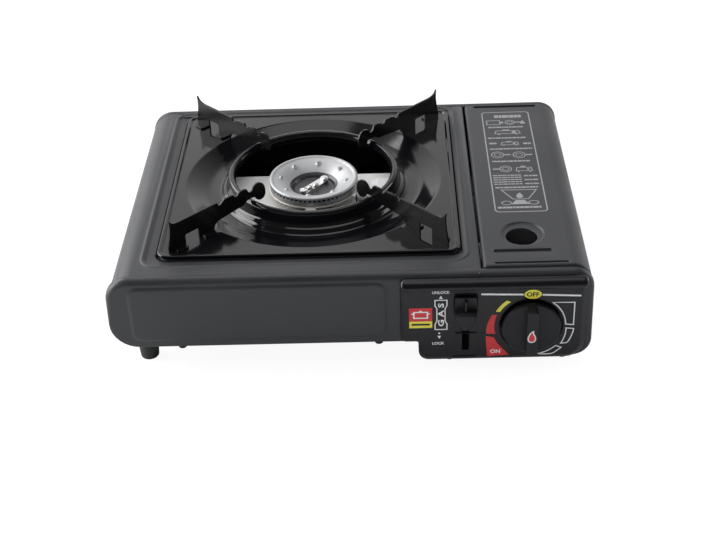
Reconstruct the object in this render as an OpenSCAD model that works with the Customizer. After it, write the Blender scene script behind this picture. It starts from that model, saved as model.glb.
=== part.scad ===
// Single-burner cassette stove: pressed steel casing, lift-off drip tray with four pan arms,
// hinged cartridge lid, gas regulator with knob, piezo igniter and cartridge lock.
// Millimetres. X runs left to right, Y front to back, Z up from the table.
// The origin is under the middle of the stove, on the table.

/* [Casing] */
// Height of the painted top above the table
top_z = 80; // [80:0.5:90]
// Height of the burner side's underside above the table
burner_floor_z = 23; // [16:0.5:26]
// Height of the cartridge side's underside above the table
bay_floor_z = 8; // [6:0.5:8]
// Width of the deeper cartridge side, under the floor
bay_side_w = 122; // [112:1:126]
// Thickness of the casing sheet
sheet = 0.8; // [0.6:0.1:1]
// Visible depth of an end cap's rim
cap_depth = 6; // [5:0.5:8]
// Depth of the tongue that an end cap pushes under the shell
tongue_len = 6; // [4:0.5:8]
// How far the shell's left wall stands inside the end caps' rim
shell_inset = 2; // [2:0.5:6]
// Top left corner radius
corner_tl = 17; // [12:1:20]
// Bottom left corner radius
corner_bl = 20; // [14:1:22]
// Top right corner radius
corner_tr = 15; // [10:1:18]
// Bottom right corner radius
corner_br = 14; // [8:1:16]
// Corner radius where the cartridge side hangs lower
corner_step = 7; // [4:1:9]
// Height that the front cap's embossed field stands out
emboss = 1.2; // [0.8:0.1:2]

// Number of air slots behind the cartridge
louvre_count = 4; // [2:1:5]

/* [Feet] */
// Radius of a rubber foot
foot_r = 7.5; // [6:0.5:9]
// Distance of the foot axes from the sides
foot_from_side = 21.5; // [20:0.5:24]
// Distance of the foot axes from the end cap faces
foot_from_end = 22.5; // [18:0.5:26]

/* [Lid] */
// Width of the lid, from the gap to the right side
lid_w = 76; // [74:1:80]
// Gap between the shell's top and the lid
lid_gap = 2.4; // [1.8:0.1:3]
// How far the lid's top stands above the shell's top
lid_rise = 1.5; // [1:0.1:2.5]
// Height of the lid's lower edge above the table
lid_edge_z = 40; // [34:1:46]
// Radius of the finger hole
finger_hole_r = 11.2; // [9:0.2:12]
// Distance of the finger hole's axis behind the front cap's face
finger_hole_from_front = 45.3; // [40:0.5:60]
// Distance of the finger hole's axis from the right side
finger_hole_from_right = 47; // [40:0.5:52]
// Radius of the hinge pins
hinge_pin_r = 1.25; // [1:0.05:1.5]

/* [Tray and pan arms] */
// Side of the square drip tray
tray_size = 215; // [200:1:240]
// Distance of the tray from the left side of the casing
tray_from_left = 34.1; // [30:0.1:45]
// Distance of the tray from the shell's right edge
tray_from_lid = 12.5; // [9:0.1:20]
// Distance of the tray from the front cap's face
tray_from_front = 27.2; // [24:0.1:40]
// Least distance of the tray from the back cap's face
tray_from_back = 14.8; // [14.4:0.1:30]
// Thickness of the enamelled tray sheet
tray_t = 1; // [0.8:0.1:1.2]
// Least width of the flat rim around the tray's round dish
dish_margin = 10.5; // [8:0.5:12]
// Depth of the dish below the tray's flat corners
dish_depth = 7; // [4:0.5:8]
// Outer radius of the collar around the flame, at its rim
collar_r = 65; // [62:0.5:68]
// Height of the collar's rim above the tray's flat corners
collar_h = 8.5; // [5:0.5:9]
// Width of the collar's rolled rim
collar_w = 6; // [5:0.5:8]
// Distance of a pan arm's outer edge from the tray's corner
arm_margin = 8.2; // [5:0.1:14]
// Height of the pan rest above the tray's flat corners
arm_h = 20; // [16:0.5:24]
// Extra height of the outer spike
spike_h = 5; // [3:0.5:9]
// Thickness of the arm plates
arm_t = 1.5; // [1.2:0.1:2]

/* [Burner] */
// Radius of the burner head
burner_r = 34; // [32:0.5:36]
// Height of the burner's rim above the painted top
burner_rise = 3; // [1:0.5:4]
// Number of flame ports in the skirt
port_count = 60; // [36:1:72]
// Radius of a flame port
port_r = 0.9; // [0.6:0.1:1.2]
// Outer radius of the mixing tube
tube_r = 9; // [8:0.2:9]
// Wall of the mixing tube
tube_wall = 0.9; // [0.7:0.1:1.1]
// Length of the bridge that carries the burner
bridge_len = 140; // [130:1:142]
// Width of the bridge
bridge_w = 56; // [50:1:60]

/* [Controls] */
// Knob axis from the right side
knob_from_right = 43.5; // [42:0.5:46]
// Knob axis above the cartridge side's underside
knob_up = 30; // [28:0.5:32]
// Radius of the knob
knob_r = 20.5; // [18:0.5:21.5]
// How far the knob's grip reaches in front of the front cap's face
knob_reach = 16; // [14:0.5:20]
// Height of the igniter cam's lift
cam_lift = 6; // [4:0.5:7]
// Angle the knob turns from off to full on
knob_turn = 150; // [120:5:160]
// Radius of the gas spindle
spindle_r = 3; // [2.5:0.1:3.5]
// Lock lever's axis from the right side
lever_from_right = 89; // [88:0.5:91]
// Travel of the lock lever
lever_travel = 20; // [16:0.5:21]
// Travel of the cartridge pusher
push_travel = 10; // [8:0.5:10]
// Left edge of the control panel from the left side
panel_from_left = 205.6; // [204:0.2:210]
// How far the panel's face stands in front of the cap
panel_proud = 4; // [3.6:0.2:5]
// How far the panel's hood stands in front of the cap
hood_out = 7.5; // [6.5:0.5:9]

/* [Cartridge] */
// Radius of the gas cartridge that the bay takes
cartridge_r = 33.5; // [32:0.5:33.5]
// Length of the gas cartridge
cartridge_len = 184; // [180:1:190]
// Distance of the resting cartridge's nose from the front cap's face
nose_from_front = 58.5; // [58:0.5:64]
// Least distance of the cartridge's end from the back cap's face
end_from_back = 14.5; // [14:0.5:24]

/* [Clearances] */
// Gap between nested sheets
nest = 0.1; // [0.05:0.05:0.2]
// Radial running clearance of turning and sliding round parts
run = 0.05; // [0.03:0.01:0.09]
// Gap on each side of a flat sliding part
slide = 0.2; // [0.15:0.05:0.3]

/* [Hidden] */
$fn = 48;
cut = 1;
case_w = tray_from_left + tray_size + tray_from_lid + lid_gap + lid_w;
case_d = max(tray_from_front + tray_size + tray_from_back, nose_from_front + cartridge_len + end_from_back);
left_x = -case_w / 2;
right_x = case_w / 2;
front_y = (knob_reach - case_d) / 2;
back_y = front_y + case_d;
mid_y = (front_y + back_y) / 2;
step_x = right_x - bay_side_w;
// sheets that nest inside each other
inner = sheet + nest;
floor_top = burner_floor_z + inner + sheet;
bay_floor_top = bay_floor_z + inner + sheet;
top_under = top_z - sheet;
// lid
lid_x = right_x - lid_w;
lid_side = 1;
lid_top = top_z + lid_rise;
lid_under = lid_top - sheet;
lid_y0 = front_y + cap_depth + 0.8;
lid_y1 = back_y - cap_depth - 0.8;
lid_flange = 5.5;
hinge_x = lid_x + 3;
hinge_z = lid_top - 4;
hinge_plate_t = 1;
hinge_plate_y = front_y + cap_depth - hinge_plate_t - 0.2;
hinge_plate_w = 10.2;
finger_x = right_x - finger_hole_from_right;
finger_y = front_y + finger_hole_from_front;
scoop_r = finger_hole_r + 4.7;
scoop_x = finger_x + 1;
scoop_y = finger_y + 2.8;
scoop_drop = 1.2;
// shell and partition
shell_right = lid_x - lid_gap;
shell_flange = 7;
part_x = shell_right - 2 * sheet;
bay_x = part_x + sheet;
shell_y0 = front_y + cap_depth + 0.2;
shell_y1 = back_y - cap_depth - 0.2;
return_w = 10;
// air slots
louvre_pitch = 16;
louvre_from_end = 20;
louvre_r = 2;
// tray
burner_x = left_x + tray_from_left + tray_size / 2;
burner_y = front_y + tray_from_front + tray_size / 2;
dish_r = tray_size / 2 - dish_margin;
seat_depth = 1.8;
seat_z = top_z - seat_depth;
seat_left = 9;
seat_right = 4;
seat_front = 8.5;
seat_back = 7.5;
seat_r = 10;
ledge = 7.5;
land_z = top_z + 1;
tray_r = 8;
rim_z = land_z + 1.2;
rim_w = 3;
arm_reach = (tray_size / 2 - tray_r) * sqrt(2) + tray_r - arm_margin;
dish_z = land_z - dish_depth;
dish_floor_r = dish_r - 8.5;
collar_foot_r = collar_r + 6;
flame_opening_r = collar_r - collar_w;
collar_z = land_z + collar_h;
bead_r = 2;
step_up = 3;
// burner
burner_top = top_z + burner_rise;
bridge_top = burner_top - 15;
bridge_t = 1;
skirt_z = burner_top - 7.6;
recess_r = 15.5;
clamp_screw_r = 11.8;
tube_z = bridge_top - 13;
// regulator, spindle and cam
knob_x = right_x - knob_from_right;
knob_z = bay_floor_z + knob_up;
cart_x = (bay_x + right_x - inner - sheet) / 2;
cart_z = bay_floor_top + 2 + cartridge_r;
reg_w = 40;
reg_t = 20;
reg_low = 14;
reg_high = 26;
bracket_t = 1.2;
bracket_left = 30;
bracket_right = 28;
bracket_foot = 16;
bracket_deep = 14;
bracket_y = front_y + 10.9;
reg_y = bracket_y + bracket_t;
boss_r = 7;
inlet_r = 11;
inlet_len = 10;
inlet_bore_r = 5.5;
inlet_bore_len = 5.5;
seal_r = 4.4;
seal_t = 2.5;
seal_gap = 0.1;
seal_hole_r = 2.2;
seal_y = reg_y + reg_t + inlet_len - inlet_bore_len - seal_t;
nozzle_x = knob_x - reg_w / 2 + 1.5;
nozzle_y = reg_y + 12.4;
nozzle_angle = atan2(burner_y - nozzle_y, burner_x - nozzle_x);
nozzle_dist = sqrt(pow(burner_y - nozzle_y, 2) + pow(burner_x - nozzle_x, 2));
outlet_len = 16;
tube_start = 11;
cam_r = 8;
cam_t = 4;
cam_y = front_y + 4;
tip_gap = 0.6;
plunger_r = 3.5;
plunger_len = 13;
plunger_y = cam_y + cam_t / 2;
case_low = knob_z + cam_r + cam_lift + 2.5;
case_high = top_z - 4.5;
// lock
lever_x = right_x - lever_from_right;
plate_t = 2;
plate_low = bay_floor_top + lever_travel + 0.3;
plate_high = top_z - seat_depth - sheet - 2.4;
plate_y0 = front_y + sheet + 1.1;
plate_y1 = plate_y0 + 20;
shank_z = plate_low + 12.4;
shank_h = 5;
shank_in = 5;
pin_r = 2;
pin_y = plate_y1 - 5.4;
pin_z = plate_low + 5;
handle_w = 16;
handle_h = 19;
handle_out = 9;
bar_t = 1.5;
bar_h = 10;
bar_gap = 0.4;
push_y = front_y + nose_from_front + cartridge_len + 1;
// panel
panel_x0 = left_x + panel_from_left;
panel_x1 = right_x - 5;
panel_top = top_z - 3;
panel_wall = 2;
panel_ear_z = burner_floor_z + 1;
hood_z = top_z - 9;
grip_w = 8;
slot_w = 5.4;
knob_hole_r = spindle_r + 1;
// feet and screws
foot_x = [left_x + foot_from_side, right_x - foot_from_side];
foot_y = [front_y + foot_from_end, back_y - foot_from_end];
stem_r = 3;
screw_r = 1.5;
screw_hole_r = screw_r + nest;
head_r = 2.8;
head_h = 1.6;
thread_len = 4;

// ---- shared shapes ----

// rectangle from the origin with its own radius at each corner
module rounded(w, h, tl, tr, br, bl) {
    spots = [[0, h - tl, tl, tl, h - tl], [w - tr, h - tr, tr, w - tr, h - tr],
        [w - br, 0, br, w - br, br], [0, 0, bl, bl, bl]];
    difference() {
        square([w, h]);
        for (s = spots) if (s[2] > 0) translate([s[0], s[1]]) square(s[2]);
    }
    for (s = spots) if (s[2] > 0) intersection() {
        translate([s[0], s[1]]) square(s[2]);
        translate([s[3], s[4]]) circle(s[2]);
    }
}

// rounded rectangle between two corners, one radius
module rounded_box(x0, y0, x1, y1, r) {
    translate([x0, y0]) rounded(x1 - x0, y1 - y0, r, r, r, r);
}

// straight slot with round ends between two points
module slot_2d(a, b, r) {
    translate(a) circle(r);
    translate(b) circle(r);
    translate(a) rotate(atan2(b[1] - a[1], b[0] - a[0])) translate([0, -r]) square([norm(b - a), 2 * r]);
}

// extrusions of a profile across the width, along the depth and up the height
module along_x(x0, x1) {
    translate([x0, 0, 0]) rotate([90, 0, 90]) linear_extrude(x1 - x0) children();
}
module along_y(y0, y1) {
    translate([0, y1, 0]) rotate([90, 0, 0]) linear_extrude(y1 - y0) children();
}
module along_z(z0, z1) {
    translate([0, 0, z0]) linear_extrude(z1 - z0) children();
}

// the same child at the front and mirrored at the back
module both_ends() {
    children();
    translate([0, 2 * mid_y, 0]) mirror([0, 1, 0]) children();
}

// round rod between two points
module rod(a, b, r) {
    d = b - a;
    translate(a) rotate([0, acos(d[2] / norm(d)), atan2(d[1], d[0])]) cylinder(h = norm(d), r = r);
}

// pan-head screw from its seat, pointing down
module screw_down(len) {
    cylinder(h = head_h, r = head_r);
    translate([0, 0, -len]) cylinder(h = len + cut / 2, r = screw_r);
}

// casing outline across the width, moved in by d, its left side by d and more
module outline(d, left = 0) {
    translate([left_x + left + d, burner_floor_z + d])
        rounded(step_x + 2 * corner_step - left_x - left - d, top_z - burner_floor_z - 2 * d,
            corner_tl - d, 0, 0, corner_bl - left - d);
    translate([step_x + d, bay_floor_z + d])
        rounded(right_x - step_x - 2 * d, top_z - bay_floor_z - 2 * d,
            0, corner_tr - d, corner_br - d, corner_step - d);
}

// sheet that follows the outline
module outline_sheet(d, left = 0) {
    difference() {
        outline(d, left);
        outline(d + sheet, left);
    }
}

// ---- casing ----

// pressed pan that closes one end, with the tongue that goes under the shell
module end_cap() {
    difference() {
        along_y(front_y, front_y + cap_depth) outline(0);
        along_y(front_y + sheet, front_y + cap_depth + cut) outline(sheet);
    }
    along_y(front_y + cap_depth - sheet, front_y + cap_depth) tongue_span() difference() {
        outline(0);
        outline(inner + sheet, shell_inset);
    }
    along_y(front_y + cap_depth - sheet, front_y + cap_depth + tongue_len) tongue_span()
        outline_sheet(inner, shell_inset);
}

// part of the outline that has a tongue: the left wall and the top up to the partition
module tongue_span() {
    intersection() {
        children();
        translate([left_x, burner_floor_z + corner_bl])
            square([part_x - 0.5 - left_x, top_z]);
    }
}

// holes for the casing screws in the rims and the bottom plate
module case_screw_spots() {
    for (x = [left_x + 50, step_x - 28]) translate([x, front_y + cap_depth / 2 + 0.3, burner_floor_z])
        children();
    for (x = [step_x + 22, right_x - 20]) translate([x, front_y + cap_depth / 2 + 0.3, bay_floor_z])
        children();
}

module case_screw_holes() {
    case_screw_spots() translate([0, 0, -cut]) cylinder(h = 3 * cut + 2 * sheet, r = screw_hole_r);
}

module panel_screw_spots() {
    for (p = [[panel_x0 + 26, panel_top - 12], [knob_x + 27, bay_floor_z + 8], [step_x + 14, bay_floor_z + 9]])
        translate([p[0], front_y, p[1]]) children();
}

// field pressed out of the front cap
module emboss_field(d) {
    rounded_box(left_x + 15 + d, burner_floor_z + 5 + d, panel_x0 - 8.6 - d, top_z - 5 - d, 8 - d);
}

module front_cap() {
    color("dimgray") difference() {
        union() {
            end_cap();
            along_y(front_y - emboss, front_y + sheet) emboss_field(0);
        }
        along_y(front_y - emboss + sheet, front_y + 2 * sheet) emboss_field(sheet);
        case_screw_holes();
        translate([knob_x, front_y - cut, knob_z]) rotate([-90, 0, 0])
            cylinder(h = 2 * cut + sheet, r = knob_hole_r + 1);
        along_y(front_y - cut, front_y + sheet + cut) lever_slot(0.8);
        panel_screw_spots() translate([0, -cut, 0]) rotate([-90, 0, 0])
            cylinder(h = 2 * cut + sheet, r = screw_hole_r);
    }
}

// window for the lock lever's shank, grown by d
module lever_slot(d) {
    translate([lever_x - slot_w / 2 - d, shank_z - shank_h / 2 - lever_travel - 2 - d])
        square([slot_w + 2 * d, lever_travel + shank_h + 3 + 2 * d]);
}

module back_cap() {
    color("dimgray") difference() {
        translate([0, 2 * mid_y, 0]) mirror([0, 1, 0]) end_cap();
        translate([0, 2 * mid_y, 0]) mirror([0, 1, 0]) case_screw_holes();
        along_z(seat_z - 2 * sheet, top_under) seat_outline(sheet + slide);
        for (i = [0:louvre_count - 1]) translate([cart_x + louvre_pitch * (i - (louvre_count - 1) / 2), 0, 0])
            along_y(back_y - sheet - cut, back_y + cut)
                slot_2d([0, bay_floor_z + louvre_from_end], [0, top_z - louvre_from_end], louvre_r);
    }
}

// seat outline pressed into the top, around the tray
module seat_outline(d) {
    rounded_box(burner_x - tray_size / 2 - seat_left - d, burner_y - tray_size / 2 - seat_front - d,
        burner_x + tray_size / 2 + seat_right + d, burner_y + tray_size / 2 + seat_back + d, seat_r + d);
}

module body_shell() {
    opening = tray_size / 2 - ledge;
    color("dimgray") difference() {
        union() {
            along_y(shell_y0, shell_y1) intersection() {
                outline_sheet(0, shell_inset);
                union() {
                    translate([left_x, burner_floor_z + 2 * sheet])
                        square([shell_right - left_x, top_z]);
                    translate([left_x, 0]) square([corner_bl + return_w, top_z]);
                }
                translate([left_x, 0]) difference() {
                    square([shell_right - left_x, 2 * top_z]);
                    translate([corner_bl + return_w, 0])
                        square([case_w, burner_floor_z + 2 * corner_bl]);
                }
            }
            translate([shell_right - sheet, shell_y0, top_z - shell_flange])
                cube([sheet, shell_y1 - shell_y0, shell_flange]);
            along_z(seat_z - sheet, top_z) seat_outline(sheet);
        }
        along_z(seat_z, top_z + cut) seat_outline(0);
        along_z(seat_z - sheet - cut, top_z + cut)
            rounded_box(burner_x - opening, burner_y - opening, burner_x + opening, burner_y + opening, tray_r);
        foot_stem_holes();
    }
}

module bottom_plate() {
    color("silver") difference() {
        along_y(front_y + sheet + 0.2, back_y - sheet - 0.2) intersection() {
            outline_sheet(inner, shell_inset);
            union() {
                translate([left_x + corner_bl, 0])
                    square([step_x + 2 * corner_step - left_x - corner_bl, floor_top + nest]);
                translate([step_x, 0]) square([bay_side_w, bay_floor_top + nest]);
                translate([right_x - corner_br - 4, 0])
                    square([corner_br + 4, lid_edge_z - 0.5]);
            }
        }
        both_ends() case_screw_holes();
        foot_stem_holes();
        bridge_screw_spots() translate([0, 0, -thread_len - cut]) cylinder(h = thread_len + cut, r = screw_hole_r);
        partition_screw_spots() translate([0, 0, -thread_len - cut]) cylinder(h = thread_len + cut, r = screw_hole_r);
        bracket_foot_spots() translate([0, 0, -thread_len - cut]) cylinder(h = thread_len + cut, r = screw_hole_r);
        for (i = [0:4]) for (j = [0:4])
            translate([burner_x - 48 + 24 * i, burner_y - 48 + 24 * j, burner_floor_z])
                cylinder(h = 2 * (inner + sheet), r = 4);
    }
}

// ---- feet and casing screws ----

module foot_stem_holes() {
    for (y = foot_y) {
        translate([foot_x[0], y, burner_floor_z - cut]) cylinder(h = 3 * sheet + 2 * cut, r = stem_r + nest);
        translate([foot_x[1], y, bay_floor_z - cut]) cylinder(h = 3 * sheet + 2 * cut, r = stem_r + nest);
    }
}

// rubber foot under a floor at height z, seated at height z + seat
module foot(x, y, z, seat) {
    chamfer = 1;
    color("#202020") translate([x, y, 0]) rotate_extrude() polygon([[0, 0], [foot_r - 2 * chamfer, 0],
        [foot_r - chamfer, chamfer], [foot_r, z / 2], [foot_r, z + seat], [stem_r, z + seat],
        [stem_r, z + seat + 3 * sheet], [0, z + seat + 3 * sheet]]);
}

module foot_front_left() { foot(foot_x[0], foot_y[0], burner_floor_z, 0); }
module foot_back_left() { foot(foot_x[0], foot_y[1], burner_floor_z, 0); }
module foot_front_right() { foot(foot_x[1], foot_y[0], bay_floor_z, inner); }
module foot_back_right() { foot(foot_x[1], foot_y[1], bay_floor_z, inner); }

module case_screws() {
    color("silver") both_ends() case_screw_spots() mirror([0, 0, 1]) screw_down(5);
}

// ---- partition between the burner side and the cartridge bay ----

module partition_screw_spots() {
    for (y = [burner_y - 60, burner_y + 20, back_y - 30])
        translate([part_x - 5, y, bay_floor_top + sheet]) children();
}

// places along the partition
lead_y = front_y + 60.5;
lead_z = tube_z + 10.4;
strip_z = top_z - 9.5;
strip_x = burner_x + burner_r + 4;
fold_y = burner_y - tray_size / 3;
strip_y0 = burner_y - 13;
strip_y1 = burner_y + 14;
window_y = nozzle_y + (part_x - nozzle_x) * tan(nozzle_angle);

module partition() {
    color("silver") difference() {
        union() {
            translate([part_x, front_y + sheet, bay_floor_top])
                cube([sheet, case_d - 2 * sheet, top_under - bay_floor_top]);
            translate([part_x - 10, fold_y, bay_floor_top])
                cube([10 + cut / 2, back_y - sheet - fold_y, sheet]);
        }
        along_x(part_x - cut, bay_x + cut) union() {
            translate([window_y - tube_r * 1.6, tube_z - tube_r - 1.2])
                square([tube_r * 3.2, 2 * tube_r + 2.4]);
            slot_2d([pin_y + 1, pin_z], [pin_y - push_travel - 1, pin_z], pin_r + 0.6);
            translate([lead_y, lead_z]) circle(3);
            translate([strip_y0 - 0.5, strip_z - 0.3]) square([strip_y1 - strip_y0 + 1, 1.8]);
        }
        partition_screw_spots() translate([0, 0, -sheet - cut]) cylinder(h = sheet + 2 * cut, r = screw_hole_r);
        keeper_pegs(nest);
        hinge_rivets(nest);
    }
}

module partition_screws() {
    color("silver") partition_screw_spots() screw_down(thread_len);
}

// ---- lid ----

// section of the lid, moved in from its top and its right side by d
module lid_section(d) {
    translate([lid_x, lid_edge_z])
        rounded(right_x - lid_side - lid_x - d, lid_top - lid_edge_z - d, 0, corner_tr - d, 0, 0);
}

module lid() {
    color("dimgray") difference() {
        union() {
            along_y(lid_y0, lid_y1) difference() {
                lid_section(0);
                translate([-cut, -cut]) lid_section(sheet - cut);
                translate([lid_x - cut, lid_edge_z - cut]) square([2 * cut, lid_under - lid_edge_z + cut]);
            }
            both_ends() along_y(lid_y0, lid_y0 + sheet) union() {
                difference() {
                    lid_section(0);
                    translate([-cut, -cut]) lid_section(lid_flange - cut);
                    translate([lid_x - cut, lid_edge_z - cut])
                        square([2 * cut, lid_top - lid_flange - lid_edge_z + cut]);
                }
                translate([lid_x, hinge_z - 3.5]) square([7, lid_top - hinge_z + 3]);
            }
            translate([scoop_x, scoop_y, lid_under - scoop_drop]) cylinder(h = scoop_drop + sheet / 2, r = scoop_r);
        }
        translate([scoop_x, scoop_y, lid_top - scoop_drop]) cylinder(h = scoop_drop + cut, r = scoop_r - sheet);
        translate([finger_x, finger_y, lid_under - scoop_drop - cut]) cylinder(h = scoop_drop + sheet + 2 * cut, r = finger_hole_r);
        translate([hinge_x, front_y, hinge_z]) rotate([-90, 0, 0])
            cylinder(h = case_d, r = hinge_pin_r + nest / 10);
    }
}

module lid_hinge_pins() {
    color("silver") both_ends() translate([hinge_x, hinge_plate_y - 0.5, hinge_z]) rotate([-90, 0, 0]) {
        cylinder(h = lid_y0 + sheet + 1 - hinge_plate_y + 0.5, r = hinge_pin_r);
        translate([0, 0, lid_y0 + sheet - hinge_plate_y + 0.5]) cylinder(h = 1, r = hinge_pin_r + 1);
    }
}

// rivets that fix a hinge bracket to the partition
module hinge_rivets(d) {
    both_ends() for (z = [top_z - 17, top_z - 11.5])
        translate([part_x - cut / 2, hinge_plate_y + 8, z]) rotate([0, 90, 0])
            cylinder(h = sheet + cut, r = 1 + d);
}

module hinge_brackets() {
    color("silver") {
        both_ends() difference() {
            union() {
                translate([bay_x, hinge_plate_y, top_z - 20])
                    cube([hinge_plate_w, hinge_plate_t, 20 - 1]);
                translate([bay_x, hinge_plate_y, top_z - 20]) cube([1, 12, 20 - shell_flange - 1]);
            }
            translate([hinge_x, hinge_plate_y - cut, hinge_z]) rotate([-90, 0, 0])
                cylinder(h = hinge_plate_t + 2 * cut, r = hinge_pin_r + run);
        }
        hinge_rivets(0);
    }
}

module lid_catch() {
    wall_x = right_x - inner - sheet;
    color("silver") along_y(mid_y - 6, mid_y + 6) polygon([[wall_x, lid_edge_z - 16],
        [wall_x, lid_edge_z - 4], [wall_x - 0.5, lid_edge_z - 1], [wall_x - 0.5, lid_edge_z + 6],
        [wall_x - 2, lid_edge_z + 9], [wall_x - 2.6, lid_edge_z + 9], [wall_x - 1.1, lid_edge_z + 6],
        [wall_x - 1.1, lid_edge_z - 1], [wall_x - 0.6, lid_edge_z - 4], [wall_x - 0.6, lid_edge_z - 16]]);
}

// ---- drip tray and pan arms ----

// square with rounded corners about the burner axis, moved in by d
module tray_square(d) {
    half = tray_size / 2 - d;
    rounded_box(burner_x - half, burner_y - half, burner_x + half, burner_y + half, tray_r - d);
}

module drip_tray() {
    color("#202328") {
        along_z(seat_z, rim_z) difference() {
            tray_square(0);
            tray_square(tray_t);
        }
        along_z(rim_z - tray_t, rim_z) difference() {
            tray_square(0);
            tray_square(rim_w);
        }
        along_z(land_z - tray_t, rim_z) difference() {
            tray_square(rim_w - tray_t);
            tray_square(rim_w);
        }
        along_z(land_z - tray_t, land_z) difference() {
            tray_square(rim_w - cut / 2);
            translate([burner_x, burner_y]) circle(dish_r);
        }
        translate([burner_x, burner_y, 0]) rotate_extrude($fn = 96) difference() {
            dish_profile();
            translate([0, -tray_t]) dish_profile();
        }
    }
}

// half section of the dish and the collar, filled down to the dish floor
module dish_profile() {
    wall = tray_t;
    union() {
        polygon([[dish_r + cut / 2, land_z], [dish_r, land_z], [dish_r - 2, land_z - 1],
            [dish_floor_r + 2, dish_z + 1], [dish_floor_r, dish_z], [collar_foot_r + 2, dish_z],
            [collar_foot_r, dish_z + step_up / 3], [collar_foot_r - 1.2, dish_z + step_up],
            [collar_foot_r - 3.2, dish_z + step_up], [collar_r + 0.6, dish_z + step_up + 3],
            [collar_r, collar_z - bead_r], [collar_r - bead_r / 3, collar_z - bead_r / 3],
            [collar_r - bead_r, collar_z], [collar_r - 2 * bead_r, collar_z - bead_r / 6],
            [flame_opening_r + 0.6, collar_z - bead_r], [flame_opening_r, collar_z - 2 * bead_r],
            [flame_opening_r, dish_z - 3 * wall], [dish_r + cut / 2, dish_z - 3 * wall]]);
    }
}

// notches that keep a pan from slipping: place beyond the collar, and depth
arm_notches = [[-3.2, 4.4], [9.4, 2.6], [26, 3]];

// plate of one arm in the plane of its diagonal, from the burner axis outward, foot at height 0
module arm_profile() {
    over = collar_h + 0.8;
    difference() {
        union() {
            polygon([[dish_r + 2, 0], [arm_reach, 0], [arm_reach - 2.8, arm_h - 3],
                [arm_reach - 2.4, arm_h + spike_h], [arm_reach - 4.6, arm_h + 2.2], [arm_reach - 7, arm_h + 0.6],
                [arm_reach - 11, arm_h], [flame_opening_r - 4, arm_h], [flame_opening_r - 10, arm_h - 7],
                [flame_opening_r - 6.5, over - 3.4], [flame_opening_r - 1, over - 2.6],
                [flame_opening_r - 0.4, over], [collar_r + 3, over], [collar_r + 6.4, over - 2.4],
                [dish_r - 2, over - 4.6]]);
            translate([flame_opening_r - 4, arm_h - 6]) circle(6);
        }
        for (n = arm_notches) translate([collar_r + n[0], arm_h - n[1]]) square([2.6, n[1] + cut]);
        translate([arm_reach - 27.6, -cut]) square([12, cut + 7.4]);
    }
}

// pan arm standing on the tray, at an angle about the burner axis
module arm(angle) {
    color("#181a1d") translate([burner_x, burner_y, land_z]) rotate(angle) {
        translate([0, arm_t / 2, 0]) rotate([90, 0, 0]) linear_extrude(arm_t) arm_profile();
        translate([arm_reach - 14, -arm_t / 2, 0]) cube([10, 8, arm_t]);
        translate([dish_r + 4, -arm_t / 2, 0]) cube([10, 8, arm_t]);
    }
}

module arm_front_left() { arm(225); }
module arm_front_right() { arm(315); }
module arm_back_left() { arm(135); }
module arm_back_right() { arm(45); }

// ---- burner ----

clamp_angle = 50;
recess_floor = burner_top - 10.5;
clamp_h = 2.5;
flange_t = 1.5;
head_wall = 1.5;
jet_count = 8;
jet_ring_r = burner_r - 9.4;
jet_drop = 2.9;

module clamp_screw_spots() {
    for (s = [-1, 1]) translate([burner_x, burner_y, 0]) rotate(clamp_angle)
        translate([s * clamp_screw_r, 0, recess_floor + clamp_h]) children();
}

module clamp_screw_holes() {
    clamp_screw_spots() translate([0, 0, -recess_floor]) cylinder(h = 2 * recess_floor, r = screw_hole_r);
}

module burner_head() {
    color("silver") difference() {
        translate([burner_x, burner_y, 0]) rotate_extrude($fn = 96) polygon([
            [burner_r - head_wall, skirt_z], [burner_r - 0.4, skirt_z], [burner_r, burner_top - 1.4],
            [burner_r - 0.4, burner_top - 0.4], [burner_r - 1.4, burner_top], [burner_r - 2.6, burner_top - 0.6],
            [jet_ring_r, burner_top - jet_drop], [recess_r + head_wall, recess_floor + 2.7],
            [recess_r, recess_floor + 1.3], [recess_r, recess_floor],
            [0, recess_floor], [0, recess_floor - head_wall], [recess_r + head_wall, recess_floor - head_wall],
            [recess_r + head_wall, recess_floor + 0.9], [jet_ring_r + head_wall / 2, burner_top - jet_drop - 1.3],
            [burner_r - head_wall, burner_top - head_wall - 0.8]]);
        translate([burner_x, burner_y, burner_top - 4]) for (i = [0:port_count - 1])
            rotate(360 / port_count * i) translate([burner_r - 3, 0, 0]) rotate([0, 90, 0])
                cylinder(h = 4, r = port_r, $fn = 12);
        translate([burner_x, burner_y, burner_top - 6]) for (i = [0:jet_count - 1])
            rotate(360 / jet_count * i + 38) translate([jet_ring_r, 0, 0]) cylinder(h = 6, r = 0.7, $fn = 12);
        clamp_screw_holes();
    }
}

module burner_cup() {
    color("silver") difference() {
        union() {
            translate([burner_x, burner_y, 0]) rotate_extrude($fn = 96) polygon([
                [tube_r - 0.5, bridge_top], [24, bridge_top], [burner_r - 3, skirt_z - 1.4],
                [burner_r + 0.6, skirt_z - 1.4], [burner_r + 0.6, skirt_z], [burner_r - 3.4, skirt_z],
                [23.4, bridge_top + 1.2], [tube_r - 0.5, bridge_top + 1.2]]);
            translate([burner_x - 5, burner_y - burner_r - 3.6, skirt_z - 1.4]) cube([8, 5, 1.2]);
        }
        clamp_screw_holes();
    }
}

module burner_clamp() {
    color("silver") difference() {
        translate([burner_x, burner_y, recess_floor]) rotate(clamp_angle)
            along_z(0, clamp_h) slot_2d([-clamp_screw_r + 0.8, 0], [clamp_screw_r - 0.8, 0], 3.6);
        clamp_screw_holes();
    }
}

module burner_screws() {
    color("silver") clamp_screw_spots()
        screw_down(recess_floor + clamp_h - bridge_top + bridge_t + flange_t);
}

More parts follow.
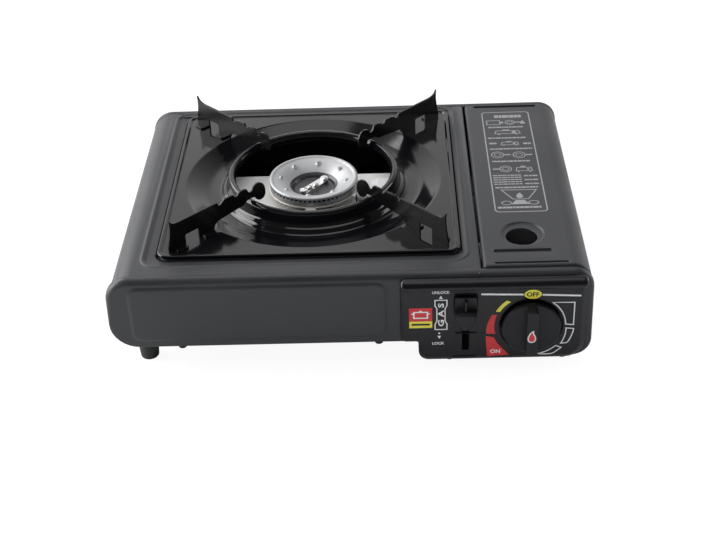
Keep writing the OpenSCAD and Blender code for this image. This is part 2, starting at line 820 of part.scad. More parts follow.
module bridge_screw_spots() {
    for (sx = [-1, 1]) for (sy = [-1, 1])
        translate([burner_x + sx * (bridge_len / 2 + 6), burner_y + sy * (bridge_w / 2 - 8), floor_top + bridge_t])
            children();
}

// folded section of the bridge about the burner axis
module bridge_section() {
    half = bridge_len / 2;
    under = bridge_top - bridge_t;
    side = [[half - bridge_t, under], [half - bridge_t, floor_top], [half + 12, floor_top],
        [half + 12, floor_top + bridge_t], [half, floor_top + bridge_t], [half, bridge_top]];
    polygon(concat(side, [for (i = [5:-1:0]) [-side[i][0], side[i][1]]]));
}

module burner_bridge() {
    color("silver") difference() {
        translate([burner_x, 0, 0]) along_y(burner_y - bridge_w / 2, burner_y + bridge_w / 2) bridge_section();
        translate([burner_x, burner_y, bridge_top - bridge_t - cut]) cylinder(h = bridge_t + 2 * cut, r = tube_r - 0.5);
        translate([lead_path[1][0], lead_path[1][1], bridge_top - bridge_t - cut])
            cylinder(h = bridge_t + 2 * cut, r = 2 * lead_r);
        clamp_screw_holes();
        bridge_screw_spots() translate([0, 0, -bridge_t - cut]) cylinder(h = bridge_t + 2 * cut, r = screw_hole_r);
    }
}

module bridge_screws() {
    color("silver") bridge_screw_spots() screw_down(thread_len);
}

module heat_strip() {
    end = bay_x + cartridge_r / 3;
    color("silver") along_y(strip_y0, strip_y1) polygon([[strip_x, bridge_top], [strip_x + 6, bridge_top],
        [strip_x + 12, strip_z], [end, strip_z], [end, strip_z + 1], [strip_x + 11.6, strip_z + 1],
        [strip_x + 5.6, bridge_top + 1], [strip_x, bridge_top + 1]]);
}

// places a child at the nozzle, its X axis along the mixing tube
module at_nozzle() {
    translate([nozzle_x, nozzle_y, tube_z]) rotate(nozzle_angle) children();
}

module tube_solid(r, mouth) {
    at_nozzle() rotate([0, 90, 0]) translate([0, 0, outlet_len + mouth])
        cylinder(h = nozzle_dist - outlet_len - mouth, r = r);
}

module mixing_tube() {
    under = bridge_top - bridge_t;
    color("silver") difference() {
        union() {
            tube_solid(tube_r, 1);
            translate([burner_x, burner_y, tube_z - tube_r - 2]) cylinder(h = under - tube_z + tube_r + 2, r = tube_r + 2);
            translate([burner_x, burner_y, under - flange_t]) cylinder(h = flange_t, r = clamp_screw_r + 5);
        }
        tube_solid(tube_r - tube_wall, 1 - cut);
        translate([burner_x, burner_y, tube_z - tube_r - 0.8])
            cylinder(h = under - tube_z + tube_r + 0.8 + cut, r = tube_r + 0.6);
        clamp_screw_holes();
        at_nozzle() translate([outlet_len + tube_start, 1.5 * tube_r, 0]) rotate([90, 0, 0])
            cylinder(h = 3 * tube_r, r = 3);
    }
}

module nozzle() {
    color("gold") at_nozzle() translate([outlet_len, 0, 0]) rotate([0, 90, 0]) difference() {
        union() {
            cylinder(h = 3, r = 4.2, $fn = 6);
            cylinder(h = 6, r = 2.4);
        }
        translate([0, 0, cut]) cylinder(h = 6, r = 0.5, $fn = 12);
    }
}

// ---- electrode ----

electrode_in = 1.4;
electrode_side = 20;
electrode_x = burner_x + burner_r - electrode_in;
electrode_y = burner_y - electrode_side;
electrode_z = bridge_top + 8;
plate_bent = 1;

module electrode_bracket() {
    color("silver") difference() {
        union() {
            translate([electrode_x, electrode_y - 6, bridge_top]) cube([plate_bent, 12, 13]);
            translate([electrode_x, electrode_y - 6, bridge_top]) cube([14, 12, plate_bent]);
        }
        translate([electrode_x - cut, electrode_y, electrode_z]) rotate([0, 90, 0]) cylinder(h = 3 * cut, r = 2.6);
        translate([electrode_x + 10, electrode_y, bridge_top - cut]) cylinder(h = 3 * cut, r = screw_hole_r);
    }
}

module electrode_insulator() {
    color("white") translate([electrode_x - 1.6, electrode_y, electrode_z]) rotate([0, 90, 0]) difference() {
        union() {
            cylinder(h = 12, r = 2.5);
            translate([0, 0, 1.6 + plate_bent + 0.05]) cylinder(h = 7, r = 3.4);
        }
        translate([0, 0, -cut]) cylinder(h = 12 + 2 * cut, r = 0.85);
    }
}

module electrode_rod() {
    color("silver") translate([electrode_x - 2.8, electrode_y, electrode_z]) rotate([0, 90, 0])
        cylinder(h = 15.4, r = 0.8);
}

lead_r = 1.2;
lead_bend = 3;
lead_high = top_z - 8.4;
lead_path = [[electrode_x + 12.6, electrode_y, electrode_z], [electrode_x + 20, electrode_y, electrode_z],
    [electrode_x + 20, electrode_y, lead_z], [electrode_x + 20, lead_y, lead_z],
    [bay_x + 4.2, lead_y, lead_z], [bay_x + 4.2, lead_y - 24, lead_z], [bay_x + 4.2, lead_y - 24, lead_high],
    [bay_x + 4.2, bracket_y + 6, lead_high], [knob_x, bracket_y + 6, lead_high],
    [knob_x, bracket_y - 0.2, lead_high]];

// unit direction of the lead from one corner of its path to the next
function lead_way(i) = (lead_path[i + 1] - lead_path[i]) / norm(lead_path[i + 1] - lead_path[i]);

// quarter bend at corner p, from direction u into direction v
module lead_corner(p, u, v) {
    w = cross(u, v);
    o = p - lead_bend * u + lead_bend * v;
    multmatrix([[u[0], v[0], w[0], o[0]], [u[1], v[1], w[1], o[1]], [u[2], v[2], w[2], o[2]]])
        rotate([0, 0, -90]) rotate_extrude(angle = 90) translate([lead_bend, 0]) circle(lead_r);
}

module igniter_lead() {
    last = len(lead_path) - 1;
    color("white") {
        for (i = [0:last - 1]) rod(lead_path[i] + (i > 0 ? lead_bend : 0) * lead_way(i),
            lead_path[i + 1] - (i < last - 1 ? lead_bend : 0) * lead_way(i), lead_r);
        for (i = [1:last - 1]) lead_corner(lead_path[i], lead_way(i - 1), lead_way(i));
    }
}

module lead_grommet() {
    lip = 0.8;
    color("#202020") translate([part_x - lip, lead_y, lead_z]) rotate([0, 90, 0]) difference() {
        union() {
            cylinder(h = sheet + 2 * lip, r = 2.9);
            cylinder(h = lip, r = 4.4);
            translate([0, 0, sheet + lip]) cylinder(h = lip, r = 4.4);
        }
        translate([0, 0, -cut]) cylinder(h = sheet + 2 * lip + 2 * cut, r = lead_r + 0.1);
    }
}

// ---- regulator, spindle and igniter ----

boss_front = cam_y + cam_t + 0.3;
reg_x0 = knob_x - reg_w / 2;
reg_x1 = knob_x + reg_w / 2;
reg_z0 = knob_z - reg_low;
reg_z1 = knob_z + reg_high;
cover_y = reg_y + reg_t / 2;
cover_z = (reg_z0 + reg_z1) / 2;

module bracket_foot_spots() {
    for (x = [knob_x - 24, knob_x + 11]) translate([x, bracket_y + 8, bay_floor_top + bracket_t]) children();
}

module bracket_face_spots() {
    for (p = [[reg_x0 + 5, reg_z0 + 5], [reg_x1 - 5, cover_z]]) translate([p[0], bracket_y, p[1]]) children();
}

module cover_screw_spots() {
    for (sy = [-1, 1]) for (sz = [-1, 1])
        translate([reg_x1 + 3, cover_y + sy * 6, cover_z + sz * 15]) children();
}

module regulator_body() {
    color("lightgray") difference() {
        union() {
            along_y(reg_y, reg_y + reg_t) rounded_box(reg_x0, reg_z0, reg_x1, reg_z1, 4);
            translate([knob_x, boss_front, knob_z]) rotate([-90, 0, 0]) cylinder(h = reg_y - boss_front + cut, r = boss_r);
            translate([cart_x, reg_y + reg_t - cut, cart_z]) rotate([-90, 0, 0]) cylinder(h = inlet_len + cut, r = inlet_r);
            at_nozzle() rotate([0, 90, 0]) cylinder(h = outlet_len, r = boss_r);
        }
        translate([knob_x, boss_front - cut, knob_z]) rotate([-90, 0, 0])
            cylinder(h = reg_y - boss_front + 5 + cut, r = spindle_r + run);
        translate([cart_x, seal_y, cart_z]) rotate([-90, 0, 0]) {
            cylinder(h = seal_t + cut, r = seal_r + seal_gap);
            translate([0, 0, seal_t]) cylinder(h = inlet_bore_len + cut, r = inlet_bore_r);
        }
        bracket_face_spots() rotate([-90, 0, 0]) cylinder(h = 8, r = screw_hole_r);
        cover_screw_spots() rotate([0, -90, 0]) cylinder(h = 10, r = screw_hole_r);
    }
}

module regulator_cover() {
    color("silver") difference() {
        union() {
            along_x(reg_x1, reg_x1 + 3) rounded_box(cover_y - 9, cover_z - 18, cover_y + 9, cover_z + 18, 3);
            translate([reg_x1, cover_y, cover_z]) rotate([0, 90, 0]) cylinder(h = 8, r = 8);
        }
        cover_screw_spots() rotate([0, -90, 0]) cylinder(h = 3 + cut, r = screw_hole_r);
    }
}

module regulator_screws() {
    color("silver") cover_screw_spots() rotate([0, 90, 0]) screw_down(7);
}

module regulator_bracket() {
    color("silver") difference() {
        union() {
            along_y(bracket_y, bracket_y + bracket_t)
                rounded_box(knob_x - bracket_left, bay_floor_top, knob_x + bracket_right, reg_z1 + 6, 2);
            translate([knob_x - bracket_left, bracket_y, bay_floor_top])
                cube([bracket_left + bracket_foot, bracket_deep, bracket_t]);
        }
        translate([knob_x, bracket_y - cut, knob_z]) rotate([-90, 0, 0]) cylinder(h = 3 * cut + bracket_t, r = boss_r + 0.1);
        translate([0, -cut, 0]) bracket_face_spots() rotate([-90, 0, 0]) cylinder(h = 3 * cut, r = screw_hole_r);
        bracket_foot_spots() translate([0, 0, -bracket_t - cut]) cylinder(h = bracket_t + 2 * cut, r = screw_hole_r);
    }
}

module bracket_screws() {
    color("silver") {
        bracket_foot_spots() screw_down(thread_len);
        bracket_face_spots() rotate([90, 0, 0]) screw_down(6);
    }
}

module inlet_seal() {
    color("#202020") translate([cart_x, seal_y, cart_z]) rotate([-90, 0, 0]) difference() {
        cylinder(h = seal_t, r = seal_r);
        translate([0, 0, -cut]) cylinder(h = seal_t + 2 * cut, r = seal_hole_r);
    }
}

module valve_spindle() {
    nose = front_y - hood_out - 5;
    color("gold") translate([knob_x, nose, knob_z]) rotate([-90, 0, 0]) cylinder(h = reg_y + 4 - nose, r = spindle_r);
}

module spindle_nut() {
    color("silver") translate([knob_x, bracket_y - 2, knob_z]) rotate([-90, 0, 0]) difference() {
        cylinder(h = 2, r = boss_r + 2.4, $fn = 6);
        translate([0, 0, -cut]) cylinder(h = 2 + 2 * cut, r = boss_r + 0.1);
    }
}

module igniter_cam() {
    rise = cam_lift / knob_turn;
    color("#202020") difference() {
        along_y(cam_y, cam_y + cam_t) translate([knob_x, knob_z]) polygon([for (a = [0:5:355])
            (cam_r + (a > knob_turn + 15 ? 0 : rise * min(a, knob_turn))) * [sin(a), cos(a)]]);
        translate([knob_x, cam_y - cut, knob_z]) rotate([-90, 0, 0]) cylinder(h = cam_t + 2 * cut, r = spindle_r + 0.1);
    }
}

plunger_z = knob_z + cam_r + tip_gap;

module igniter_plunger() {
    color("#202020") translate([knob_x, plunger_y, plunger_z]) cylinder(h = plunger_len, r = plunger_r);
}

module igniter_case() {
    half = 6;
    deep = bracket_y - plunger_y - 0.2;
    color("ivory") difference() {
        translate([knob_x - half, plunger_y - deep, case_low]) cube([2 * half, 2 * deep, case_high - case_low]);
        translate([knob_x, plunger_y, case_low - cut])
            cylinder(h = plunger_z + plunger_len + cam_lift + 1 - case_low + cut, r = plunger_r + run);
    }
}

// ---- control panel and knob ----

panel_y = front_y - panel_proud;

// outline of the panel across the width, moved in by d
module panel_outline(d) {
    translate([panel_x0 + d, panel_ear_z + d])
        rounded(panel_x1 - panel_x0 - 2 * d, panel_top - panel_ear_z - 2 * d, 4, 8, 0, 4);
    translate([step_x + d, bay_floor_z + d])
        rounded(panel_x1 - step_x - 2 * d, panel_top - bay_floor_z - 2 * d, 4, 8, corner_br, corner_step);
}

module control_panel() {
    color("#181818") difference() {
        union() {
            difference() {
                along_y(panel_y, front_y) panel_outline(0);
                along_y(panel_y + panel_wall, front_y + cut) panel_outline(panel_wall);
            }
            along_x(panel_x0, panel_x1) translate([front_y - hood_out, hood_z])
                rounded(hood_out, panel_top - hood_z, 4, 0, 0, 1);
            panel_screw_spots() rotate([90, 0, 0]) cylinder(h = panel_proud - cut, r = 3.4);
        }
        panel_screw_spots() translate([0, cut, 0]) rotate([90, 0, 0]) cylinder(h = panel_proud, r = screw_hole_r);
        translate([knob_x, front_y + cut, knob_z]) rotate([90, 0, 0]) cylinder(h = panel_proud + 2 * cut, r = knob_hole_r);
        translate([knob_x, panel_y + 0.8, knob_z]) rotate([90, 0, 0]) cylinder(h = 2 * cut, r = knob_r + 1);
        along_y(panel_y - cut, front_y + cut) lever_slot(0);
        along_y(panel_y - cut, panel_y + 1) rounded_box(lever_x - handle_w / 2 - 0.6, shank_z - shank_h - 5,
            lever_x + handle_w / 2 + 0.6, hood_z - 1, 2);
    }
}

module panel_screws() {
    color("silver") panel_screw_spots() translate([0, sheet, 0]) rotate([-90, 0, 0]) screw_down(3.4);
}

module knob() {
    back = panel_y - 0.8;
    face = back - 3.7;
    front = front_y - knob_reach;
    color("#181818") difference() {
        union() {
            along_y(face + 1, back) translate([knob_x, knob_z]) circle(knob_r, $fn = 96);
            along_y(face, face + 1) translate([knob_x, knob_z]) circle(knob_r - 1, $fn = 96);
            along_y(front + 1, face + cut) translate([knob_x, knob_z])
                rounded_box(-grip_w / 2, -knob_r + 1.6, grip_w / 2, knob_r - 1.6, 2);
            along_y(front, front + 1) translate([knob_x, knob_z])
                rounded_box(-grip_w / 2 + 1, -knob_r + 2.6, grip_w / 2 - 1, knob_r - 2.6, 1.5);
        }
        translate([knob_x, front_y - hood_out - 5, knob_z]) rotate([-90, 0, 0]) cylinder(h = 20, r = spindle_r + 0.1);
    }
}

// ---- cartridge lock ----

handle_y = panel_y - 0.5;
guide_x0 = lever_x - plate_t / 2 - slide - 2.2;
guide_z0 = pin_z - 7;
guide_z1 = pin_z + 25;

// pegs that fix the guide to the partition
module guide_pegs(d) {
    for (z = [guide_z0 + 3, guide_z1 - 3]) translate([part_x - cut / 2, plate_y1 - 3, z]) rotate([0, 90, 0])
        cylinder(h = sheet + cut / 2 + 0.2, r = 1 + d);
}

module lock_guide() {
    color("ivory") {
        difference() {
            along_z(guide_z0, guide_z1) difference() {
                translate([guide_x0, plate_y0 - 0.6]) square([part_x - guide_x0, plate_y1 - plate_y0 + 3]);
                translate([lever_x - plate_t / 2 - slide, plate_y0 - 1])
                    square([plate_t + 2 * slide, plate_y1 - plate_y0 + 1 + slide]);
            }
            along_x(guide_x0 - cut, part_x + cut)
                slot_2d([pin_y + 0.6, pin_z], [pin_y - push_travel - 0.6, pin_z], pin_r + 0.4);
        }
        guide_pegs(0);
    }
}

module lock_plate() {
    color("silver") along_x(lever_x - plate_t / 2, lever_x + plate_t / 2) difference() {
        union() {
            translate([plate_y0, plate_low]) square([plate_y1 - plate_y0, plate_high - plate_low]);
            translate([handle_y - shank_in, shank_z - shank_h / 2])
                square([plate_y0 - handle_y + shank_in + cut, shank_h]);
        }
        slot_2d([pin_y, pin_z], [pin_y - push_travel, pin_z + lever_travel], pin_r + 0.2);
    }
}

module lock_lever() {
    low = shank_z - shank_h / 2 - 0.6;
    high = shank_z + handle_h + 2.6;
    front = handle_y - handle_out + 0.5;
    color("#202020") difference() {
        along_x(lever_x - handle_w / 2, lever_x + handle_w / 2) polygon([[handle_y, low], [handle_y, high - 0.5],
            [handle_y - 2, high], [front + 2, high - 0.6], [front, high - 3], [front, low + 7.5],
            [front + 1.5, low + 5.6], [handle_y - 3, low + 2]]);
        translate([lever_x - plate_t / 2 - nest, handle_y - shank_in - nest, shank_z - shank_h / 2 - nest])
            cube([plate_t + 2 * nest, shank_in + cut, shank_h + 2 * nest]);
    }
}

bar_x = bay_x + bar_gap;

module pusher_bar() {
    reach = cart_x - bar_x;
    color("silver") {
        translate([bar_x, pin_y - 4, pin_z - bar_h / 2]) cube([bar_t, push_y + bar_t - pin_y + 4, bar_h]);
        translate([bar_x, push_y, pin_z - bar_h / 2]) cube([reach, bar_t, bar_h]);
        translate([cart_x - tongue_w / 2, push_y, pin_z - bar_h / 2]) cube([tongue_w, bar_t, bar_h + tongue_w / 2]);
        translate([lever_x - plate_t / 2 - 1, pin_y, pin_z]) rotate([0, 90, 0])
            cylinder(h = bar_x - lever_x + plate_t / 2 + 1 + cut / 2, r = pin_r);
    }
}

keeper_y = [front_y + nose_from_front - 6, back_y - 70];
keeper_leg = 5;
tongue_w = 16;

// pegs that fix the keepers to the partition
module keeper_pegs(d) {
    for (y = keeper_y) for (s = [-1, 1]) translate([part_x - cut / 2, y, pin_z + s * (bar_h / 2 + 3)])
        rotate([0, 90, 0]) cylinder(h = sheet + cut, r = 1 + d);
    guide_pegs(d);
}

module pusher_keepers() {
    deep = bar_gap + bar_t + slide;
    high = bar_h / 2 + slide;
    color("silver") {
        for (y = keeper_y) along_y(y - 4, y + 4) translate([bay_x, pin_z]) polygon([[0, high + 1], [deep, high + 1],
            [deep, -high - 1], [0, -high - 1], [0, -high - keeper_leg], [1, -high - keeper_leg],
            [1, -high - 2], [deep + 1, -high - 2], [deep + 1, high + 2], [1, high + 2],
            [1, high + keeper_leg], [0, high + keeper_leg]]);
        for (y = keeper_y) for (s = [-1, 1]) translate([part_x - cut / 2, y, pin_z + s * (bar_h / 2 + 3)])
            rotate([0, 90, 0]) cylinder(h = sheet + cut, r = 1);
    }
}

module cartridge_saddle() {
    flat = 17;
    edge = 23;
    rise = cartridge_r - sqrt(pow(cartridge_r, 2) - pow(edge, 2)) + 1;
    start = front_y + nose_from_front + 4;
    color("silver") along_y(start, start + cartridge_len * 5 / 6) translate([cart_x, bay_floor_top]) polygon([
        [-edge, rise], [-edge - 0.8, rise], [-flat - 1, 0], [flat + 1, 0], [edge + 0.8, rise],
        [edge, rise], [flat, 0.8], [-flat, 0.8]]);
}

body_shell();
front_cap();
back_cap();
bottom_plate();
partition();
foot_front_left();
foot_front_right();
foot_back_left();
foot_back_right();
case_screws();
lid();
lid_hinge_pins();
hinge_brackets();
lid_catch();
drip_tray();
arm_front_left();
arm_front_right();
arm_back_left();
arm_back_right();
burner_head();
burner_cup();
burner_clamp();
burner_screws();
burner_bridge();
bridge_screws();
heat_strip();
mixing_tube();
nozzle();
regulator_body();
regulator_cover();
regulator_screws();
regulator_bracket();
bracket_screws();
inlet_seal();
valve_spindle();
spindle_nut();
igniter_cam();
igniter_case();
igniter_plunger();
igniter_lead();
lead_grommet();
electrode_bracket();
electrode_insulator();
electrode_rod();
control_panel();
panel_screws();
knob();
lock_lever();
lock_plate();
lock_guide();
pusher_bar();
pusher_keepers();
cartridge_saddle();
partition_screws();
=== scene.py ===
"""Portable single-burner gas stove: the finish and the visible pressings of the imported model."""
import math

import bmesh
import bpy
import numpy as np
from mathutils import Matrix, Vector
from mathutils.geometry import tessellate_polygon


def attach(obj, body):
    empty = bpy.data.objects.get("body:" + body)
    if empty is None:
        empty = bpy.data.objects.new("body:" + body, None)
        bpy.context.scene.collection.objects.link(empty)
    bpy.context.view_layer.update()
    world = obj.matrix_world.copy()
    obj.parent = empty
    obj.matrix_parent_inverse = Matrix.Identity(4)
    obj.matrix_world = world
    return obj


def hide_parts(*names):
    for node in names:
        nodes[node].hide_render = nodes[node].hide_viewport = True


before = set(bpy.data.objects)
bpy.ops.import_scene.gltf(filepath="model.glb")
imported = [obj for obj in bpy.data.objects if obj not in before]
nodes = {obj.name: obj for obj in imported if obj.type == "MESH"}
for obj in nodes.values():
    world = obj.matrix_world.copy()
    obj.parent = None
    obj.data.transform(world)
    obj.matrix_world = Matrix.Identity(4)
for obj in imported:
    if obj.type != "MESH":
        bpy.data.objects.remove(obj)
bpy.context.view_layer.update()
MM = 0.001

# ---------------------------------------------------------------- room and camera
# A stove on a pale table top in a bright room: the camera looks down at the controls,
# a wide soft window stands high at the back left, and the walls are white.
camera_place = (0.0330, -0.8995, 0.6038)
turn_right, look_down, roll = math.radians(-1.96), math.radians(33.53), math.radians(-2.44)
sensor_width, view_distance_pixels, frame_width_pixels = 36, 1369.5, 713
camera_data = bpy.data.cameras.new("camera")
camera_data.lens = sensor_width * view_distance_pixels / frame_width_pixels
camera_data.sensor_width = sensor_width
camera = bpy.data.objects.new("camera", camera_data)
bpy.context.scene.collection.objects.link(camera)
ahead = Vector((math.sin(turn_right) * math.cos(look_down), math.cos(turn_right) * math.cos(look_down),
        -math.sin(look_down)))
side = Vector((math.cos(turn_right), -math.sin(turn_right), 0))
above = side.cross(ahead)
camera_x = side * math.cos(roll) + above * math.sin(roll)
camera_y = above * math.cos(roll) - side * math.sin(roll)
camera.matrix_world = Matrix.Translation(camera_place) @ Matrix((camera_x, camera_y, -ahead)).transposed().to_4x4()
bpy.context.scene.camera = camera
bpy.context.scene.view_settings.view_transform = "Standard"


def soft_lamp(name, place, aim, size, power, mirrored=1.0):
    """Square lamp of the given side in metres, facing from its place to the aim. Mirrored is its share in
    reflections."""
    data = bpy.data.lights.new(name, "AREA")
    data.size, data.energy, data.specular_factor = size, power, mirrored
    lamp = bpy.data.objects.new(name, data)
    facing = (Vector(aim) - Vector(place)).to_track_quat("-Z", "Y")
    lamp.matrix_world = Matrix.Translation(place) @ facing.to_matrix().to_4x4()
    bpy.context.scene.collection.objects.link(lamp)


soft_lamp("window", (-1.6, 1.0, 1.4), (0, 0, 0.05), 1.5, 34, 0.9)
soft_lamp("ceiling", (0.1, 0.3, 2.2), (0, 0, 0.05), 1.4, 9, 0.1)
soft_lamp("roof_light", (-0.25, 1.5, 2.0), (0, 0, 0.05), 0.45, 1.6)
soft_lamp("right_wall", (1.5, 0.5, 0.5), (0.1, 0, 0.05), 0.9, 7)
soft_lamp("left_wall", (-1.5, -0.1, 0.5), (-0.1, 0, 0.05), 1.0, 20, 0.4)


def add_node(tree, kind, operation=None, inputs=()):
    """New shader node of a kind in a tree, with its operation and the fixed values of some of its inputs."""
    node = tree.nodes.new("ShaderNode" + kind)
    if operation:
        node.operation = operation
    for key, value in dict(inputs).items():
        node.inputs[key].default_value = value
    return node


# The object is lit by a plain pale room. The camera sees white, and reflections show a room that
# is bright low at the back and on the left, and dark overhead, in front and on the right.
world = bpy.data.worlds.new("white_room")
bpy.context.scene.world = world
world.use_nodes = True
room = world.node_tree
room.nodes.clear()
path = add_node(room, "LightPath")
camera_or_mirror = add_node(room, "Math", "MAXIMUM")
seen = add_node(room, "Math", "MAXIMUM")
room_light = add_node(room, "Background", inputs={"Color": (0.92, 0.95, 1, 1), "Strength": 0.42})
room_seen = add_node(room, "Background", inputs={"Color": (1, 1, 1, 1)})
room_mix = add_node(room, "MixShader")
room_out = add_node(room, "OutputWorld")
heading = add_node(room, "TexCoord")
toward_window = add_node(room, "VectorMath", "DOT_PRODUCT", {1: (-0.45, 0.75, -0.50)})
wall_light = add_node(room, "MapRange", inputs={"From Min": -0.10, "From Max": 0.50, "To Min": 0.08, "To Max": 1.22})
white_or_wall = add_node(room, "Math", "MAXIMUM")
for start, end in ((heading.outputs["Generated"], toward_window.inputs[0]),
        (toward_window.outputs["Value"], wall_light.inputs["Value"]),
        (wall_light.outputs[0], white_or_wall.inputs[0]),
        (path.outputs["Is Camera Ray"], white_or_wall.inputs[1]),
        (white_or_wall.outputs[0], room_seen.inputs["Strength"]),
        (path.outputs["Is Camera Ray"], camera_or_mirror.inputs[0]),
        (path.outputs["Is Glossy Ray"], camera_or_mirror.inputs[1]),
        (camera_or_mirror.outputs[0], seen.inputs[0]),
        (path.outputs["Is Transmission Ray"], seen.inputs[1]),
        (seen.outputs[0], room_mix.inputs[0]),
        (room_light.outputs[0], room_mix.inputs[1]),
        (room_seen.outputs[0], room_mix.inputs[2]),
        (room_mix.outputs[0], room_out.inputs[0])):
    room.links.new(start, end)

# The table top is white to the camera and keeps a fifth of the shadows that fall on it.
top_half_size, glow_share = 6, 0.8
top_mesh = bpy.data.meshes.new("table_top")
top_mesh.from_pydata([(top_half_size * x, top_half_size * y, 0) for x, y in ((-1, -1), (1, -1), (1, 1), (-1, 1))], [],
    [(0, 1, 2, 3)])
table_top = bpy.data.objects.new("table_top", top_mesh)
bpy.context.scene.collection.objects.link(table_top)
white_top = bpy.data.materials.new("white_top")
white_top.use_nodes = True
top_tree = white_top.node_tree
top_tree.nodes.clear()
top_path = add_node(top_tree, "LightPath")
top_share = add_node(top_tree, "Math", "MULTIPLY", {1: glow_share})
top_diffuse = add_node(top_tree, "BsdfDiffuse", inputs={"Color": (0.9, 0.9, 0.9, 1)})
top_glow = add_node(top_tree, "Emission", inputs={"Color": (1, 1, 1, 1), "Strength": 1.15})
top_mix = add_node(top_tree, "MixShader")
top_out = add_node(top_tree, "OutputMaterial")
for start, end in ((top_path.outputs["Is Camera Ray"], top_share.inputs[0]),
        (top_share.outputs[0], top_mix.inputs[0]), (top_diffuse.outputs[0], top_mix.inputs[1]),
        (top_glow.outputs[0], top_mix.inputs[2]), (top_mix.outputs[0], top_out.inputs[0])):
    top_tree.links.new(start, end)
top_mesh.materials.append(white_top)

# ---------------------------------------------------------------- pressed steel casing
# The casing is 0.8 mm steel sheet, pressed and powder coated satin black. The middle
# shell is bent over the left side and the top, with a seat in a low bead and a narrow gutter
# pressed in for the tray.


def mottle_group():
    """Node group for a finish that changes a little from place to place: large soft patches move the
    colour up and down by Spread and the roughness between its two limits, and a fine grain gives a height."""
    group = bpy.data.node_groups.new("mottled_finish", "ShaderNodeTree")
    for way, names in (("INPUT", ("Colour", "Spread", "Patches", "Smooth", "Dull", "Grain")),
            ("OUTPUT", ("Colour", "Roughness", "Height"))):
        for name in names:
            kind = "NodeSocketColor" if name == "Colour" else "NodeSocketFloat"
            group.interface.new_socket(name=name, in_out=way, socket_type=kind)
    g_in, g_out = group.nodes.new("NodeGroupInput"), group.nodes.new("NodeGroupOutput")
    where = add_node(group, "TexCoord")
    patches = add_node(group, "TexNoise", inputs={"Detail": 4})
    grain = add_node(group, "TexNoise", inputs={"Detail": 2})
    low = add_node(group, "Math", "SUBTRACT", {0: 1})
    high = add_node(group, "Math", "ADD", {0: 1})
    swing = add_node(group, "MapRange", inputs={"From Min": 0.3, "From Max": 0.7})
    tint = add_node(group, "VectorMath", "SCALE")
    gloss = add_node(group, "MapRange", inputs={"From Min": 0.35, "From Max": 0.65})
    for start, end in ((where.outputs["Object"], patches.inputs["Vector"]),
            (g_in.outputs["Patches"], patches.inputs["Scale"]), (where.outputs["Object"], grain.inputs["Vector"]),
            (g_in.outputs["Grain"], grain.inputs["Scale"]), (g_in.outputs["Spread"], low.inputs[1]),
            (g_in.outputs["Spread"], high.inputs[1]), (patches.outputs["Fac"], swing.inputs["Value"]),
            (low.outputs[0], swing.inputs["To Min"]), (high.outputs[0], swing.inputs["To Max"]),
            (g_in.outputs["Colour"], tint.inputs[0]), (swing.outputs[0], tint.inputs["Scale"]),
            (patches.outputs["Fac"], gloss.inputs["Value"]), (g_in.outputs["Smooth"], gloss.inputs["To Min"]),
            (g_in.outputs["Dull"], gloss.inputs["To Max"]), (tint.outputs[0], g_out.inputs["Colour"]),
            (gloss.outputs[0], g_out.inputs["Roughness"]), (grain.outputs["Fac"], g_out.inputs["Height"])):
        group.links.new(start, end)
    return group


mottled = mottle_group()


def finish(name, colour, spread, patches, rough, grain, bump, metal=0.0, glint=0.5):
    """Material with a mottled colour and roughness and a fine bump. Patches and grain are counts per metre, rough
    holds the lowest and highest roughness, and glint is the specular level."""
    material = bpy.data.materials.new(name)
    material.use_nodes = True
    tree = material.node_tree
    shader = tree.nodes["Principled BSDF"]
    shader.inputs["Metallic"].default_value = metal
    shader.inputs["Specular IOR Level"].default_value = glint
    source = add_node(tree, "Group")
    source.node_tree = mottled
    for key, value in (("Colour", (*colour, 1)), ("Spread", spread), ("Patches", patches), ("Smooth", rough[0]),
            ("Dull", rough[1]), ("Grain", grain)):
        source.inputs[key].default_value = value
    dent = add_node(tree, "Bump", inputs={"Strength": bump, "Distance": 0.0002})
    tree.links.new(source.outputs["Colour"], shader.inputs["Base Color"])
    tree.links.new(source.outputs["Roughness"], shader.inputs["Roughness"])
    tree.links.new(source.outputs["Height"], dent.inputs["Height"])
    tree.links.new(dent.outputs["Normal"], shader.inputs["Normal"])
    return material


def corner_loop(corners, inset=0.0, steps=8):
    """Closed line round an outline with square corners, listed anticlockwise as x, y, radius. A corner is a quarter
    arc about the point one radius in along both its edges. An inset moves the line inwards: it comes off the
    radius of a corner that points out and adds to that of one that points in."""
    c = np.asarray(corners, float)
    p, r = c[:, :2], c[:, 2]
    back = np.roll(p, 1, 0) - p
    forth = np.roll(p, -1, 0) - p
    back /= np.linalg.norm(back, axis=1)[:, None]
    forth /= np.linalg.norm(forth, axis=1)[:, None]
    out = np.sign(back[:, 1] * forth[:, 0] - back[:, 0] * forth[:, 1])
    rho = np.maximum(r - out * inset, 0.05)
    centre = p + (out * inset + rho)[:, None] * (back + forth)
    turn = np.linspace(0, math.pi / 2, steps + 1)[None, :, None]
    return (centre[:, None] - rho[:, None, None] * (forth[:, None] * np.cos(turn)
            + back[:, None] * np.sin(turn))).reshape(-1, 2)


def rounded_frame(x0, y0, x1, y1, radius):
    """Corners of a rectangle with one radius, anticlockwise."""
    return [(x0, y0, radius), (x1, y0, radius), (x1, y1, radius), (x0, y1, radius)]


def arc(x, y, radius, start, end, steps):
    """Points on a circle about x, y between two angles in degrees."""
    a = np.radians(np.linspace(start, end, steps + 1))
    return np.stack([x + radius * np.cos(a), y + radius * np.sin(a)], -1)


def ring(x, y, radius, count):
    """A count of points all round a circle, without the first one again."""
    return arc(x, y, radius, 0, 360 - 360 / count, count - 1)


